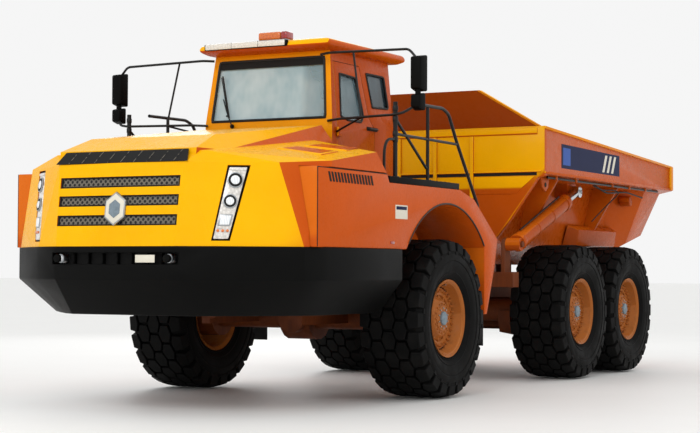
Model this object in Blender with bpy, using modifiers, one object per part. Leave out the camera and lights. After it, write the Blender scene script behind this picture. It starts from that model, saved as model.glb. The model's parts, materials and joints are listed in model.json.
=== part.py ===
"""Articulated dump truck, six wheels driven, built as separate parts around real joints.

Frame: metres, +Z up, the truck faces -Y and its left side is +X. Every part hangs from the empty
"truck_datum", which stands on the floor under the front axle, so the values below are measured from
that axle. The datum is placed so that the whole truck is centred on the world's origin.
"""

import math

import bmesh
import bpy
from mathutils import Matrix, Vector

# Fit between parts
GAP = 0.0003  # between faces that touch
PIVOT_PLAY = 0.006  # between a door or lid and its opening

# Wheels and axles
TYRE_RADIUS = 1.01
TYRE_WIDTH = 0.85
TRACK_HALF = 1.75  # truck centre to the middle of a tyre
BEAD_RADIUS = 0.47
BEAD_HALF_WIDTH = 0.33
RIM_RADIUS = 0.50
WHEEL_STEPS = 24  # one count for tyre and rim, so that their facets line up
MID_AXLE_Y = 4.674
REAR_AXLE_Y = 6.788
AXLE_TUBE_RADIUS = 0.17
DRUM_RADIUS = 0.29
DIFF_RADIUS = 0.31

# Front body
SIDE_X = 2.10  # outer face of the fenders and the skirt
PANEL = 0.03  # sheet and its inner stiffening
NOSE_Y = -4.26
NOSE_BOW = 0.02  # how far the nose's flat middle falls back at its ends
SEAM_Y = -3.35  # where the hood's side ends and the fixed side panel starts
SKIRT_TOP = 1.87
SKIRT_FOLD = 1.50
SKIRT_BOTTOM = 1.10
SKIRT_TUCK = 0.32  # how far the lower skirt draws in
SKIRT_PROUD = 0.012  # how far the skirt stands out from the body above it
SKIRT_WALL = 0.05
BODY_BASE = SKIRT_TOP + GAP  # lower edge of the hood and the fenders
HOOD_SEAM_Z = 2.77
HOOD_REAR_Y = -1.20
HOOD_HINGE = (0.0, -4.30, 1.93)
BEAM_REAR = 0.12  # rear face of the cross beam under the seam
ARCH_RADIUS = 1.45
SLOPE_TOP = (0.80, 2.55)  # rear slope of a fender, as (y, z)
SLOPE_END = (1.56, 2.04)
DECK_Z = 2.66
DECK_THICKNESS = 0.08
DECK_REAR_Y = 0.35

# Cab
CAB_HALF_WIDTH = 0.95
CAB_FRONT_Y = -0.98
CAB_REAR_Y = 0.70
CAB_FLOOR = 2.68
CAB_BELT = 3.50
CAB_TOP = 4.40
CAB_TAPER_X = 0.09
CAB_TAPER_FRONT = 0.10
CAB_WALL = 0.06
GLASS_DEPTH = 0.02
GLASS_THICKNESS = 0.01
DOOR_FRONT_Y = -0.84
DOOR_SPLIT_Y = 0.02
DOOR_REAR_Y = 0.16
DOOR_BOTTOM = 2.76
DOOR_TOP = 4.27
KNUCKLE_RADIUS = 0.02
DOOR_HINGE = (CAB_HALF_WIDTH + KNUCKLE_RADIUS + 0.0025, DOOR_FRONT_Y - 0.02, 0.0)
ROOF_TOP = 4.55

# Frames and hitch
RAIL_INNER = 0.42
RAIL_OUTER = 0.54
RAIL_BOTTOM = 1.20
RAIL_TOP = 1.60
HITCH_Y = 2.0
HITCH_Z = 1.26
YOKE_PLATE = 0.12
YOKE_HALF_GAP = 0.27
TRUNNION_RADIUS = 0.22
RING_FRONT_Y = 2.50
RING_REAR_Y = 2.95

# Steering cylinders, left side
STEER_BASE = (0.80, 0.72, 1.26)
STEER_EYE = (0.52, 2.12, 1.26)
STEER_BARREL_RADIUS = 0.07
STEER_BARREL_LENGTH = 0.95
STEER_STROKE = 0.36  # each way from straight ahead
STEER_ROD_RADIUS = 0.035

# Hoist cylinders, left side
HOIST_X = 1.66
HOIST_BASE = (3.20, 2.00)
HOIST_EYE = (5.60, 2.86)
HOIST_BARREL_RADIUS = 0.12
HOIST_STAGE_RADIUS = 0.095
HOIST_ROD_RADIUS = 0.07
HOIST_BARREL_LENGTH = 2.02

# Dump body
BED_HINGE = (0.0, 7.60, 1.52)
BED_FRONT_Y = 3.34
BED_REAR_Y = 9.20
BED_FLARE_Y = BED_REAR_Y - 1.30  # the chute starts to widen
BED_TAIL_Y = BED_REAR_Y - 0.80  # the floor kicks up
BED_FLOOR = 1.72
BED_PLATE = 0.08
RAIL_HALF_WIDTH = 2.05
RAIL_FRONT_TOP = 3.72
RAIL_REAR_TOP = 3.45
BED_RAIL_BOTTOM = 3.02

DATUM_Y = -(BED_REAR_Y + NOSE_Y) / 2

COLOURS = {
    "paint_yellow": ((0.93, 0.47, 0.01), 0.35, 0.0),
    "paint_orange": ((0.72, 0.13, 0.01), 0.4, 0.0),
    "black_plastic": ((0.012, 0.013, 0.015), 0.5, 0.0),
    "black_tube": ((0.008, 0.008, 0.01), 0.35, 0.0),
    "tyre_rubber": ((0.012, 0.012, 0.013), 0.8, 0.0),
    "chassis_paint": ((0.03, 0.03, 0.032), 0.55, 0.0),
    "chrome_rod": ((0.75, 0.76, 0.78), 0.12, 1.0),
    "glass": ((0.55, 0.75, 0.8), 0.05, 0.0),
    "lamp_silver": ((0.7, 0.72, 0.75), 0.2, 0.8),
    "amber_lens": ((0.9, 0.25, 0.01), 0.2, 0.0),
    "seat_cloth": ((0.02, 0.02, 0.022), 0.9, 0.0),
}


# Scene bookkeeping


def clear_scene():
    """Take every object out of the file's scene."""
    for item in list(bpy.data.objects):
        bpy.data.objects.remove(item, do_unlink=True)


def make_collection(name):
    """Add a collection under the scene's own."""
    group = bpy.data.collections.new(name)
    bpy.context.scene.collection.children.link(group)
    return group


def make_materials():
    """One Principled material for each finish."""
    made = {}
    for name, (colour, roughness, metallic) in COLOURS.items():
        material = bpy.data.materials.new(name)
        material.use_nodes = True
        shader = material.node_tree.nodes["Principled BSDF"]
        shader.inputs["Base Color"].default_value = (*colour, 1.0)
        shader.inputs["Roughness"].default_value = roughness
        shader.inputs["Metallic"].default_value = metallic
        made[name] = material
    return made


clear_scene()
PARTS = make_collection("articulated_dump_truck")
CUTTERS = make_collection("cutters")
MATERIALS = make_materials()
DATUM = bpy.data.objects.new("truck_datum", None)
DATUM.location = (0.0, DATUM_Y, 0.0)
PARTS.objects.link(DATUM)


# Shapes, each an object at the datum with its place in its mesh


def as_object(mesh):
    """Hold a mesh in a working object, hidden from renders until it becomes a part."""
    holder = bpy.data.objects.new("shape", mesh)
    holder.parent = DATUM
    holder.hide_render = True
    holder.display_type = "WIRE"
    CUTTERS.objects.link(holder)
    return holder


def from_bmesh(shape):
    """Weld a shape, turn its faces outwards and store it."""
    bmesh.ops.remove_doubles(shape, verts=shape.verts, dist=0.00001)
    bmesh.ops.recalc_face_normals(shape, faces=shape.faces)
    mesh = bpy.data.meshes.new("shape")
    shape.to_mesh(mesh)
    shape.free()
    return as_object(mesh)


def from_source(source, matrix):
    """Turn a curve or a modified object into a welded mesh and drop the source."""
    bpy.context.view_layer.update()
    evaluated = source.evaluated_get(bpy.context.evaluated_depsgraph_get())
    mesh = bpy.data.meshes.new_from_object(evaluated)
    shape = bmesh.new()
    shape.from_mesh(mesh)
    shape.transform(matrix)
    bpy.data.meshes.remove(mesh)
    bpy.data.objects.remove(source, do_unlink=True)
    return from_bmesh(shape)


def box(x_range, y_range, z_range):
    """Rectangular block between two values on each axis."""
    size = [high - low for low, high in (x_range, y_range, z_range)]
    middle = [(high + low) / 2 for low, high in (x_range, y_range, z_range)]
    shape = bmesh.new()
    bmesh.ops.create_cube(shape, size=1.0)
    bmesh.ops.scale(shape, vec=size, verts=shape.verts)
    bmesh.ops.translate(shape, vec=middle, verts=shape.verts)
    return from_bmesh(shape)


def rod(start, end, radius, steps=16, end_radius=None):
    """Round bar or cone from one point to another."""
    start, end = Vector(start), Vector(end)
    along = end - start
    turn = along.to_track_quat("Z", "Y").to_matrix().to_4x4()
    place = Matrix.Translation((start + end) / 2) @ turn @ Matrix.Rotation(math.pi / steps, 4, "Z")
    shape = bmesh.new()
    bmesh.ops.create_cone(
        shape,
        cap_ends=True,
        segments=steps,
        radius1=radius,
        radius2=radius if end_radius is None else end_radius,
        depth=along.length,
        matrix=place,
    )
    return from_bmesh(shape)


def hull(points):
    """Convex block through points."""
    shape = bmesh.new()
    for point in points:
        shape.verts.new(point)
    bmesh.ops.convex_hull(shape, input=shape.verts)
    return from_bmesh(shape)


PLANES = {
    "X": Matrix.Rotation(math.pi / 2, 4, "Z") @ Matrix.Rotation(math.pi / 2, 4, "X"),
    "Y": Matrix.Rotation(math.pi / 2, 4, "X"),
    "Z": Matrix.Identity(4),
}
NORMALS = {"X": Vector((1, 0, 0)), "Y": Vector((0, 1, 0)), "Z": Vector((0, 0, 1))}


def slab(outlines, axis, low, high):
    """Flat outlines (YZ, XZ or XY points) given a thickness along one axis; inner outlines are holes."""
    curve = bpy.data.curves.new("outline", "CURVE")
    curve.dimensions = "2D"
    curve.fill_mode = "BOTH"
    curve.extrude = (high - low) / 2
    for outline in outlines:
        spline = curve.splines.new("POLY")
        spline.points.add(len(outline) - 1)
        for point, place in zip(spline.points, outline):
            point.co = (place[0], place[1], 0.0, 1.0)
        spline.use_cyclic_u = True
    holder = bpy.data.objects.new("outline", curve)
    CUTTERS.objects.link(holder)
    middle = Matrix.Translation(NORMALS[axis] * ((high + low) / 2))
    return from_source(holder, middle @ PLANES[axis])


def turned(profile, centre_x, y, z, steps, side=1):
    """Turn a (radius, x) profile about the X axis; side is -1 for the truck's right."""
    mesh = bpy.data.meshes.new("profile")
    points = [(radius, 0.0, x) for radius, x in profile]
    closed = profile[0][0] > 0
    edges = [(i, i + 1) for i in range(len(points) - 1)]
    if closed:
        edges.append((len(points) - 1, 0))
    mesh.from_pydata(points, edges, [])
    holder = bpy.data.objects.new("profile", mesh)
    CUTTERS.objects.link(holder)
    screw = holder.modifiers.new("turn", "SCREW")
    screw.steps = steps
    screw.render_steps = steps
    screw.use_merge_vertices = True
    screw.merge_threshold = 0.0001
    half_step = Matrix.Rotation(math.pi / steps, 4, "Z")
    flip = Matrix.Scale(side, 4, (0, 0, 1))
    lay = Matrix.Translation((centre_x, y, z)) @ Matrix.Rotation(math.pi / 2, 4, "Y")
    return from_source(holder, lay @ half_step @ flip)


def pipe(points, radius, resolution=2):
    """Round tube along points, closed at both ends."""
    curve = bpy.data.curves.new("pipe", "CURVE")
    curve.dimensions = "3D"
    curve.bevel_depth = radius
    curve.bevel_resolution = resolution
    curve.use_fill_caps = True
    spline = curve.splines.new("POLY")
    spline.points.add(len(points) - 1)
    for point, place in zip(spline.points, points):
        point.co = (*place, 1.0)
    holder = bpy.data.objects.new("pipe", curve)
    CUTTERS.objects.link(holder)
    return from_source(holder, Matrix.Identity(4))


def loft(sections):
    """Closed skin over sections of equal point count, capped at both ends."""
    shape = bmesh.new()
    rings = [[shape.verts.new(point) for point in section] for section in sections]
    count = len(sections[0])
    for ring, following in zip(rings, rings[1:]):
        for i in range(count):
            j = (i + 1) % count
            shape.faces.new((ring[i], ring[j], following[j], following[i]))
    shape.faces.new(rings[0])
    shape.faces.new(rings[-1])
    shape.normal_update()
    bmesh.ops.triangulate(shape, faces=[face for face in shape.faces if len(face.verts) > 4])
    return from_bmesh(shape)


def arc(centre, radius, start, end, steps):
    """Points on an arc, angles in degrees from the first axis."""
    angles = [math.radians(start + (end - start) * i / steps) for i in range(steps + 1)]
    return [(centre[0] + radius * math.cos(a), centre[1] + radius * math.sin(a)) for a in angles]


def mirrored(points):
    """Points with their other halves across the truck's middle."""
    return [*points, *[(-x, y, z) for x, y, z in points]]


def both_ways(outline):
    """A half outline, given from the middle outwards, closed over the other half."""
    return [*outline, *[(-x, other) for x, other in reversed(outline)]]


# Parts


def make_part(name, base, finish, add=(), cut=(), keep=(), late=(), pivot=(0.0, 0.0, 0.0)):
    """Name a shape as a part; join, clip and cut it, join what comes late, and set its origin."""
    base.name = name
    base.data.name = name
    base.data.transform(Matrix.Translation(-Vector(pivot)))
    base.location = pivot
    for operation, others in (("UNION", add), ("INTERSECT", keep), ("DIFFERENCE", cut), ("UNION", late)):
        for other in others:
            step = base.modifiers.new(operation.lower(), "BOOLEAN")
            step.operation = operation
            step.solver = "EXACT"
            step.object = other
    base.data.materials.clear()
    base.data.materials.append(MATERIALS[finish])
    base.hide_render = False
    base.display_type = "TEXTURED"
    CUTTERS.objects.unlink(base)
    PARTS.objects.link(base)
    if finish in ("tyre_rubber", "chrome_rod"):
        base.data.shade_smooth()
        base.data.set_sharp_from_angle(angle=math.radians(40))
    return base


SIDES = (("left", 1), ("right", -1))


def across(side, low, high):
    """An X range given for the left side, on either side."""
    return (low, high) if side > 0 else (-high, -low)


# Wheels


def tyre_profile():
    """Closed tyre section; the crown's corners sit out so that its flats have the tyre's radius."""
    crown = TYRE_RADIUS / math.cos(math.pi / WHEEL_STEPS)
    half = TYRE_WIDTH / 2
    outer = [
        (crown, half - 0.11),
        (TYRE_RADIUS - 0.06, half - 0.02),
        (TYRE_RADIUS - 0.22, half),
        (BEAD_RADIUS + 0.13, half - 0.03),
        (BEAD_RADIUS + 0.05, BEAD_HALF_WIDTH),
        (BEAD_RADIUS, BEAD_HALF_WIDTH),
    ]
    return [*outer, *[(radius, -x) for radius, x in reversed(outer)]]


def rim_profile():
    """Rim, dish and hub in one section, from the hub's face round to its blind bore."""
    seat = BEAD_RADIUS - GAP
    edge = BEAD_HALF_WIDTH + GAP
    lip = BEAD_HALF_WIDTH + 0.03
    return [
        (0.0, 0.24),
        (0.17, 0.24),
        (0.21, 0.13),
        (0.39, 0.11),
        (RIM_RADIUS - 0.06, lip),
        (RIM_RADIUS, lip),
        (RIM_RADIUS, edge),
        (seat, edge),
        (seat, -edge),
        (RIM_RADIUS, -edge),
        (RIM_RADIUS, -lip),
        (RIM_RADIUS - 0.06, -lip),
        (0.36, 0.02),
        (0.0, 0.02),
    ]


AXLES = (("front", 0.0), ("mid", MID_AXLE_Y), ("rear", REAR_AXLE_Y))


def make_wheels():
    """Six tyres and six rims, each turning on its own hub."""
    for axle, y in AXLES:
        for side_name, side in SIDES:
            centre = (side * TRACK_HALF, y, TYRE_RADIUS)
            tyre = turned(tyre_profile(), *centre, WHEEL_STEPS, side)
            make_part(f"tyre_{axle}_{side_name}", tyre, "tyre_rubber", pivot=centre)
            rim = turned(rim_profile(), *centre, WHEEL_STEPS, side)
            make_part(f"rim_{axle}_{side_name}", rim, "paint_orange", pivot=centre)


def axle_shapes(y):
    """Axle tube, brake drums, hub spigots and the differential's bulge."""
    hub_end = TRACK_HALF + 0.02 - GAP
    z = TYRE_RADIUS
    tube = rod((-1.36, y, z), (1.36, y, z), AXLE_TUBE_RADIUS)
    joined = [rod((0, y - 0.36, z), (0, y + 0.36, z), DIFF_RADIUS * 0.7, 12)]
    joined.append(rod((-0.22, y, z), (0.22, y, z), DIFF_RADIUS, 16))
    for side in (1, -1):
        joined.append(rod((side * 1.30, y, z), (side * 1.60, y, z), DRUM_RADIUS, 20))
        joined.append(rod((side * 1.58, y, z), (side * hub_end, y, z), 0.15, 12))
    return tube, joined


def make_axles():
    """The three driven axles; the front one carries its suspension struts and link arms."""
    tube, joined = axle_shapes(0.0)
    for side in (1, -1):
        foot = (side * 0.86, 0.0, TYRE_RADIUS + 0.05)
        head = (side * 0.86, 0.0, 1.95)
        joined.append(rod(foot, (side * 0.86, 0.0, 1.60), 0.11, 12))
        joined.append(rod((side * 0.86, 0.0, 1.55), head, 0.08, 12))
        arm = box(across(side, 0.62, 0.74), (-1.35, 0.0), (0.93, 1.09))
        joined.append(arm)
        joined.append(box(across(side, RAIL_OUTER + GAP, 0.74), (-1.35, -1.21), (1.0, 1.34)))
    make_part("front_axle", tube, "chassis_paint", add=joined)
    for name, y in AXLES[1:]:
        tube, joined = axle_shapes(y)
        make_part(f"{name}_axle", tube, "chassis_paint", add=joined)


def make_walking_beams():
    """Rear bogie beams, pivoted on the frame's cross tube and carrying both axles."""
    middle = (MID_AXLE_Y + REAR_AXLE_Y) / 2
    for side_name, side in SIDES:
        outline = [
            (MID_AXLE_Y - 0.24, 0.86),
            (MID_AXLE_Y - 0.18, 0.68),
            (middle - 0.35, 0.58),
            (middle + 0.35, 0.58),
            (REAR_AXLE_Y + 0.18, 0.68),
            (REAR_AXLE_Y + 0.24, 0.86),
            (REAR_AXLE_Y + 0.24, TYRE_RADIUS),
            (REAR_AXLE_Y - 0.26, TYRE_RADIUS),
            (middle + 0.30, 0.98),
            (middle - 0.30, 0.98),
            (MID_AXLE_Y + 0.26, TYRE_RADIUS),
            (MID_AXLE_Y - 0.24, TYRE_RADIUS),
        ]
        beam = slab([outline], "X", *across(side, 0.84, 1.04))
        cuts = []
        for y in (MID_AXLE_Y, REAR_AXLE_Y):
            start, end = (side * 0.7, y, TYRE_RADIUS), (side * 1.2, y, TYRE_RADIUS)
            cuts.append(rod(start, end, AXLE_TUBE_RADIUS + GAP))
        pivot = (side * 0.94, middle, 0.78)
        start, end = (side * 0.7, middle, 0.78), (side * 1.2, middle, 0.78)
        cuts.append(rod(start, end, 0.10 + GAP))
        make_part(f"walking_beam_{side_name}", beam, "chassis_paint", cut=cuts, pivot=pivot)


# Frames


def make_front_frame():
    """Front chassis rails, cross beams, cab posts, tow bar and the hitch yoke."""
    rail_rear = 1.20
    rail_front = -3.85
    left = box((RAIL_INNER, RAIL_OUTER), (rail_front, rail_rear), (RAIL_BOTTOM, RAIL_TOP))
    joined = [box((-RAIL_OUTER, -RAIL_INNER), (rail_front, rail_rear), (RAIL_BOTTOM, RAIL_TOP))]
    for side in (1, -1):
        skirt_inside = NOSE_Y - SKIRT_PROUD + SKIRT_WALL + NOSE_BOW + GAP
        joined.append(box(across(side, RAIL_INNER, RAIL_OUTER), (skirt_inside, -3.80), (1.52, 1.62)))
    beam_top = BODY_BASE - GAP
    inner_x = SIDE_X + SKIRT_PROUD - SKIRT_WALL - GAP
    joined.append(box((-inner_x, inner_x), (-1.52, -1.38), (SKIRT_FOLD + 0.02, beam_top)))
    joined.append(box((-1.70, 1.70), (SEAM_Y - 0.06, SEAM_Y + BEAM_REAR), (SKIRT_FOLD + 0.02, beam_top)))
    joined.append(box((-RAIL_OUTER, RAIL_OUTER), (rail_front, rail_front + 0.16), (RAIL_BOTTOM, RAIL_TOP)))
    joined.append(box((-0.45, 0.45), (0.90, rail_rear), (RAIL_BOTTOM, RAIL_TOP)))
    joined.append(box((-0.45, 0.45), (-0.85, -0.60), (1.36, RAIL_TOP)))
    for y in (CAB_FRONT_Y + 0.18, CAB_REAR_Y - 0.18):
        for side in (1, -1):
            post = box(across(side, RAIL_INNER, RAIL_OUTER), (y - 0.07, y + 0.07), (1.5, CAB_FLOOR - GAP))
            joined.append(post)
        joined.append(box((-1.16 + GAP, 1.16 - GAP), (y - 0.06, y + 0.06), (2.46, DECK_Z - GAP)))
    plate = [(0.45, 0.95), (0.45, 1.35), (0.32, HITCH_Y)]
    nose = arc((0.0, HITCH_Y), 0.32, 30, 90, 3)
    for low in (HITCH_Z - YOKE_HALF_GAP - YOKE_PLATE, HITCH_Z + YOKE_HALF_GAP):
        outline = both_ways([*reversed(nose), *reversed(plate)])
        joined.append(slab([outline], "Z", low, low + YOKE_PLATE))
    joined.append(box((-0.45, 0.45), (0.95, 1.20), (HITCH_Z - YOKE_HALF_GAP - YOKE_PLATE, RAIL_TOP)))
    for side in (1, -1):
        x, y, z = STEER_BASE
        joined.append(box(across(side, RAIL_OUTER - 0.02, x + 0.08), (y - 0.10, y + 0.10), (z + 0.10, z + 0.14)))
        joined.append(box(across(side, RAIL_OUTER - 0.02, x + 0.08), (y - 0.10, y + 0.10), (z - 0.14, z - 0.10)))
        joined.append(rod((side * x, y, z - 0.12), (side * x, y, z + 0.12), 0.03, 12))
    make_part("front_frame", left, "chassis_paint", add=joined)


def make_hitch():
    """Yaw block between the yoke plates, with the trunnion that the rear frame rolls on."""
    half = YOKE_HALF_GAP - GAP
    block = rod((0, HITCH_Y, HITCH_Z - half), (0, HITCH_Y, HITCH_Z + half), 0.27, 20)
    face = RING_FRONT_Y - GAP
    joined = [box((-0.24, 0.24), (HITCH_Y, face), (HITCH_Z - 0.24, HITCH_Z + 0.24))]
    joined.append(rod((0, face - 0.1, HITCH_Z), (0, RING_REAR_Y + 0.06, HITCH_Z), TRUNNION_RADIUS, 24))
    x, y, z = STEER_EYE
    arm_top = z - 0.05 - GAP
    joined.append(box((-x - 0.09, x + 0.09), (y - 0.10, y + 0.10), (arm_top - 0.08, arm_top)))
    make_part("hitch", block, "chassis_paint", add=joined, pivot=(0.0, HITCH_Y, HITCH_Z))


def make_rear_frame():
    """Rear chassis rails with the roll ring, hoist outriggers, bogie tube and bed pin."""
    rails = [
        (2.90, RAIL_BOTTOM),
        (7.72, RAIL_BOTTOM),
        (7.80, RAIL_BOTTOM + 0.06),
        (7.70, RAIL_TOP),
        (2.90, RAIL_TOP),
    ]
    left = slab([rails], "X", RAIL_INNER, RAIL_OUTER)
    joined = [slab([rails], "X", -RAIL_OUTER, -RAIL_INNER)]
    joined.append(rod((0, RING_FRONT_Y, HITCH_Z), (0, RING_REAR_Y, HITCH_Z), 0.34, 24))
    joined.append(box((-0.45, 0.45), (RING_REAR_Y - 0.10, RING_REAR_Y), (RAIL_BOTTOM - 0.2, RAIL_TOP)))
    middle = (MID_AXLE_Y + REAR_AXLE_Y) / 2
    for low, high in ((3.50, 3.70), (middle - 0.2, middle + 0.2), (7.40, 7.66)):
        joined.append(box((-0.45, 0.45), (low, high), (RAIL_BOTTOM + 0.02, RAIL_BOTTOM + 0.26)))
    base_y, base_z = HOIST_BASE
    ear_out = HOIST_X + HOIST_BARREL_RADIUS
    joined.append(box((-HOIST_X, HOIST_X), (base_y - 0.10, base_y + 0.12), (1.38, RAIL_TOP)))
    for side in (1, -1):
        inner_ear = HOIST_X - HOIST_BARREL_RADIUS - 0.01
        ear = [
            (base_y - 0.10, 1.40),
            (base_y + 0.12, 1.40),
            (base_y + 0.10, base_z),
            *arc((base_y, base_z), 0.10, 45, 135, 3),
            (base_y - 0.10, base_z),
        ]
        joined.append(slab([ear], "X", *across(side, inner_ear - 0.06, inner_ear)))
        pin_start = (side * (inner_ear - 0.03), base_y, base_z)
        pin_end = (side * ear_out, base_y, base_z)
        joined.append(rod(pin_start, pin_end, 0.045, 12))
        hanger_z = (0.70, RAIL_BOTTOM + 0.02)
        joined.append(box(across(side, RAIL_INNER, RAIL_OUTER), (middle - 0.14, middle + 0.14), hanger_z))
        for y in (3.80, 5.30, 6.60):
            pad = box(across(side, RAIL_INNER, RAIL_OUTER), (y, y + 0.35), (RAIL_TOP - 0.01, BED_FLOOR - GAP))
            joined.append(pad)
    joined.append(rod((-1.06, middle, 0.78), (1.06, middle, 0.78), 0.10))
    hinge_y, hinge_z = BED_HINGE[1], BED_HINGE[2]
    joined.append(rod((-0.68, hinge_y, hinge_z), (0.68, hinge_y, hinge_z), 0.05))
    bore = rod((0, RING_FRONT_Y - 0.1, HITCH_Z), (0, RING_REAR_Y + 0.1, HITCH_Z), TRUNNION_RADIUS + 0.003, 24)
    make_part("rear_frame", left, "chassis_paint", add=joined, cut=[bore])


# Front body


def nose_outline(inset, tuck=0.0):
    """Half plan of the nose and skirt from the middle outwards; tuck draws it further in."""
    side = SIDE_X - inset - tuck
    front = NOSE_Y + inset + tuck
    return [
        (0.0, front),
        (0.80 - inset / 2, front + NOSE_BOW),
        (1.20 - 0.7 * inset - tuck / 2, front + 0.20),
        (1.60 - 0.9 * inset - 0.8 * tuck, front + 0.50),
        (side - 0.12, front + 0.83),
        (side, front + 1.10),
    ]


def make_skirt():
    """Black bumper and side skirt, folded in towards its lower edge, open behind and below."""
    rear_y = -1.30

    def shell(inset, drop):
        rings = []
        levels = (
            (SKIRT_BOTTOM - drop, SKIRT_TUCK),
            (SKIRT_FOLD, 0.0),
            (SKIRT_TOP + drop, 0.0),
        )
        for z, tuck in levels:
            half = nose_outline(inset - SKIRT_PROUD, tuck)
            half.append((half[-1][0], rear_y + drop))
            rings.append([(x, y, z) for x, y in both_ways(half[1:])])
        return loft(rings)

    slot = box((-0.86, 0.86), (NOSE_Y - 0.2, NOSE_Y + 0.3), (1.67, 1.80))
    tyre_space = rod((-3, 0, TYRE_RADIUS), (3, 0, TYRE_RADIUS), TYRE_RADIUS + 0.22, 32)
    make_part("front_skirt", shell(0.0, 0.0), "black_plastic",
              cut=[shell(SKIRT_WALL, 0.02), slot, tyre_space])


def fender_outline(inset, tail):
    """Side view of a fender box: panel, deck step, rear slope, tail and wheel arch."""
    w = inset
    radius = ARCH_RADIUS + w
    front_low = (-math.sqrt(radius ** 2 - (BODY_BASE + w - TYRE_RADIUS) ** 2), BODY_BASE + w)
    end = math.degrees(math.atan2(front_low[1] - TYRE_RADIUS, front_low[0]))
    tail_y = 1.12 + w
    start = math.degrees(math.acos(tail_y / radius))
    points = [
        (SEAM_Y + w, BODY_BASE + w),
        (SEAM_Y + w, HOOD_SEAM_Z - PIVOT_PLAY - w),
        (-1.68 - w, HOOD_SEAM_Z - PIVOT_PLAY - w),
        (-1.62 - w, DECK_Z - GAP - w),
        (DECK_REAR_Y - w / 2, DECK_Z - GAP - w),
        (SLOPE_TOP[0] - w / 2, SLOPE_TOP[1] - w),
        (SLOPE_END[0] - w, SLOPE_END[1] - w / 2),
    ]
    if tail:
        points += [(1.46, 1.66), (1.21, 1.04), (tail_y, 1.04)]
    else:
        points += [(1.48 - w, 1.80), (tail_y, 1.80)]
    return [*points, *arc((0.0, TYRE_RADIUS), radius, start, end, 14)]


def make_fenders():
    """Side panel, wheel arch and tail in one sheet box, open towards the middle of the truck."""
    for side_name, side in SIDES:
        body = slab([fender_outline(0.0, True)], "X", *across(side, 1.16, SIDE_X))
        hollow = slab([fender_outline(PANEL, False)], "X", *across(side, 1.0, SIDE_X - PANEL))
        make_part(f"fender_{side_name}", body, "paint_orange", cut=[hollow])


def make_decks():
    """Walkways over the fenders, out to the body's side."""
    for side_name, side in SIDES:
        plate = box(across(side, CAB_HALF_WIDTH + GAP, SIDE_X - 0.01), (-1.60, DECK_REAR_Y),
                    (DECK_Z, DECK_Z + DECK_THICKNESS))
        make_part(f"deck_{side_name}", plate, "black_plastic")


def hood_body(w):
    """Convex lower body of the hood: nose, corners and shoulders."""
    low = BODY_BASE - (0.2 if w else 0.0)
    bottom = [(x, y, low) for x, y in nose_outline(w)]
    side = SIDE_X - w
    top = [
        (0.0, -4.13 + w, 2.80 - w),
        (0.86 - w, -4.11 + w, 2.80 - w),
        (1.25 - w, -3.87 + w, 2.79 - w),
        (1.46 - w, -3.72 + w, 2.79 - w),
        (1.72 - w, -3.54 + w, 2.80 - w),
        (side, -3.02 + w, 2.84 - w),
        (side, -1.96 - w, 3.00 - w),
        (side, -1.70 - w, HOOD_SEAM_Z),
        (side, -1.70 - w, low),
        (1.02, -3.95 + w, 2.93 - w),
        (1.04, -1.60 - w, 3.20 - w),
        (1.04, -1.60 - w, low),
        (0.0, -1.60 - w, 3.20 - w),
    ]
    return hull(mirrored([*bottom, *top]))


def hood_crown(w):
    """Raised centre of the hood, with sloping sides up to a flat top."""
    rear = HOOD_REAR_Y + (0.2 if w else 0.0)
    return hull(mirrored([
        (0.94 - w, -4.00 + w, 2.96 - w),
        (0.93 - w, -4.02 + w, 2.70),
        (1.06 - w, -3.60 + w, 2.95 - w),
        (1.08 - w, rear, 3.21 - w),
        (1.08 - w, rear, 2.70),
        (0.86 - w, -3.52 + w, 3.14 - w),
        (0.92 - w, rear, 3.42 - w),
    ]))


def make_hood():
    """Tilting hood with its grille and lamp clusters."""
    w = PANEL
    under = box((-3, 3), (-5, 0), (1.0, BODY_BASE))
    side_gap = box((-3, 3), (SEAM_Y - PIVOT_PLAY, 0), (1.0, HOOD_SEAM_Z))
    slots = []
    slot_z = ((2.82, 2.90), (2.53, 2.65), (2.32, 2.44), (2.10, 2.22))
    for low, high in slot_z:
        slots.append(box((-0.82, 0.82), (-5.0, -3.9), (low, high)))
    lamp_rooms = []
    for side_name, side in SIDES:
        outline = lamp_points(side, 0.0)
        lamp_rooms.append(hull(outline))
    make_part("hood_shell", hood_body(0.0), "paint_yellow", add=[hood_crown(0.0)],
                      cut=[hood_body(w), hood_crown(w), under, side_gap, *slots, *lamp_rooms],
                      pivot=HOOD_HINGE)
    backing = box((-0.90, 0.90), (-4.03, -3.99), (2.02, 2.72))
    bars = []
    for low, high in slot_z[1:]:
        bars.append(box((-0.82 + GAP, 0.82 - GAP), (-4.20, -4.0), (low + GAP, high - GAP)))
    make_part("grille", backing, "black_plastic", add=bars, pivot=HOOD_HINGE)
    for side_name, side in SIDES:
        make_part(f"headlight_{side_name}", hull(lamp_points(side, GAP)), "lamp_silver", pivot=HOOD_HINGE)


def lamp_points(side, fit):
    """Slanted lamp cluster across the nose's corner."""
    corners = (
        (1.259, -3.865, 2.763 - fit),
        (1.464, -3.722, 2.763 - fit),
        (1.178, -4.070, 1.93 + fit),
        (1.343, -3.948, 1.93 + fit),
    )
    points = []
    for i, (x, y, z) in enumerate(corners):
        shift = 3 * fit if i % 2 == 0 else -3 * fit
        points.append((side * (x + shift + 0.012), y - 0.02 + 4 * fit, z))
        points.append((side * (x + shift - 0.05), y + 0.12, z))
    return points


def make_engine():
    """Engine and radiator block under the hood."""
    block = box((-0.40, 0.40), (SEAM_Y + BEAM_REAR + GAP, -1.60), (1.30, 2.50))
    make_part("engine_block", block, "chassis_paint")


# Cab


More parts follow.
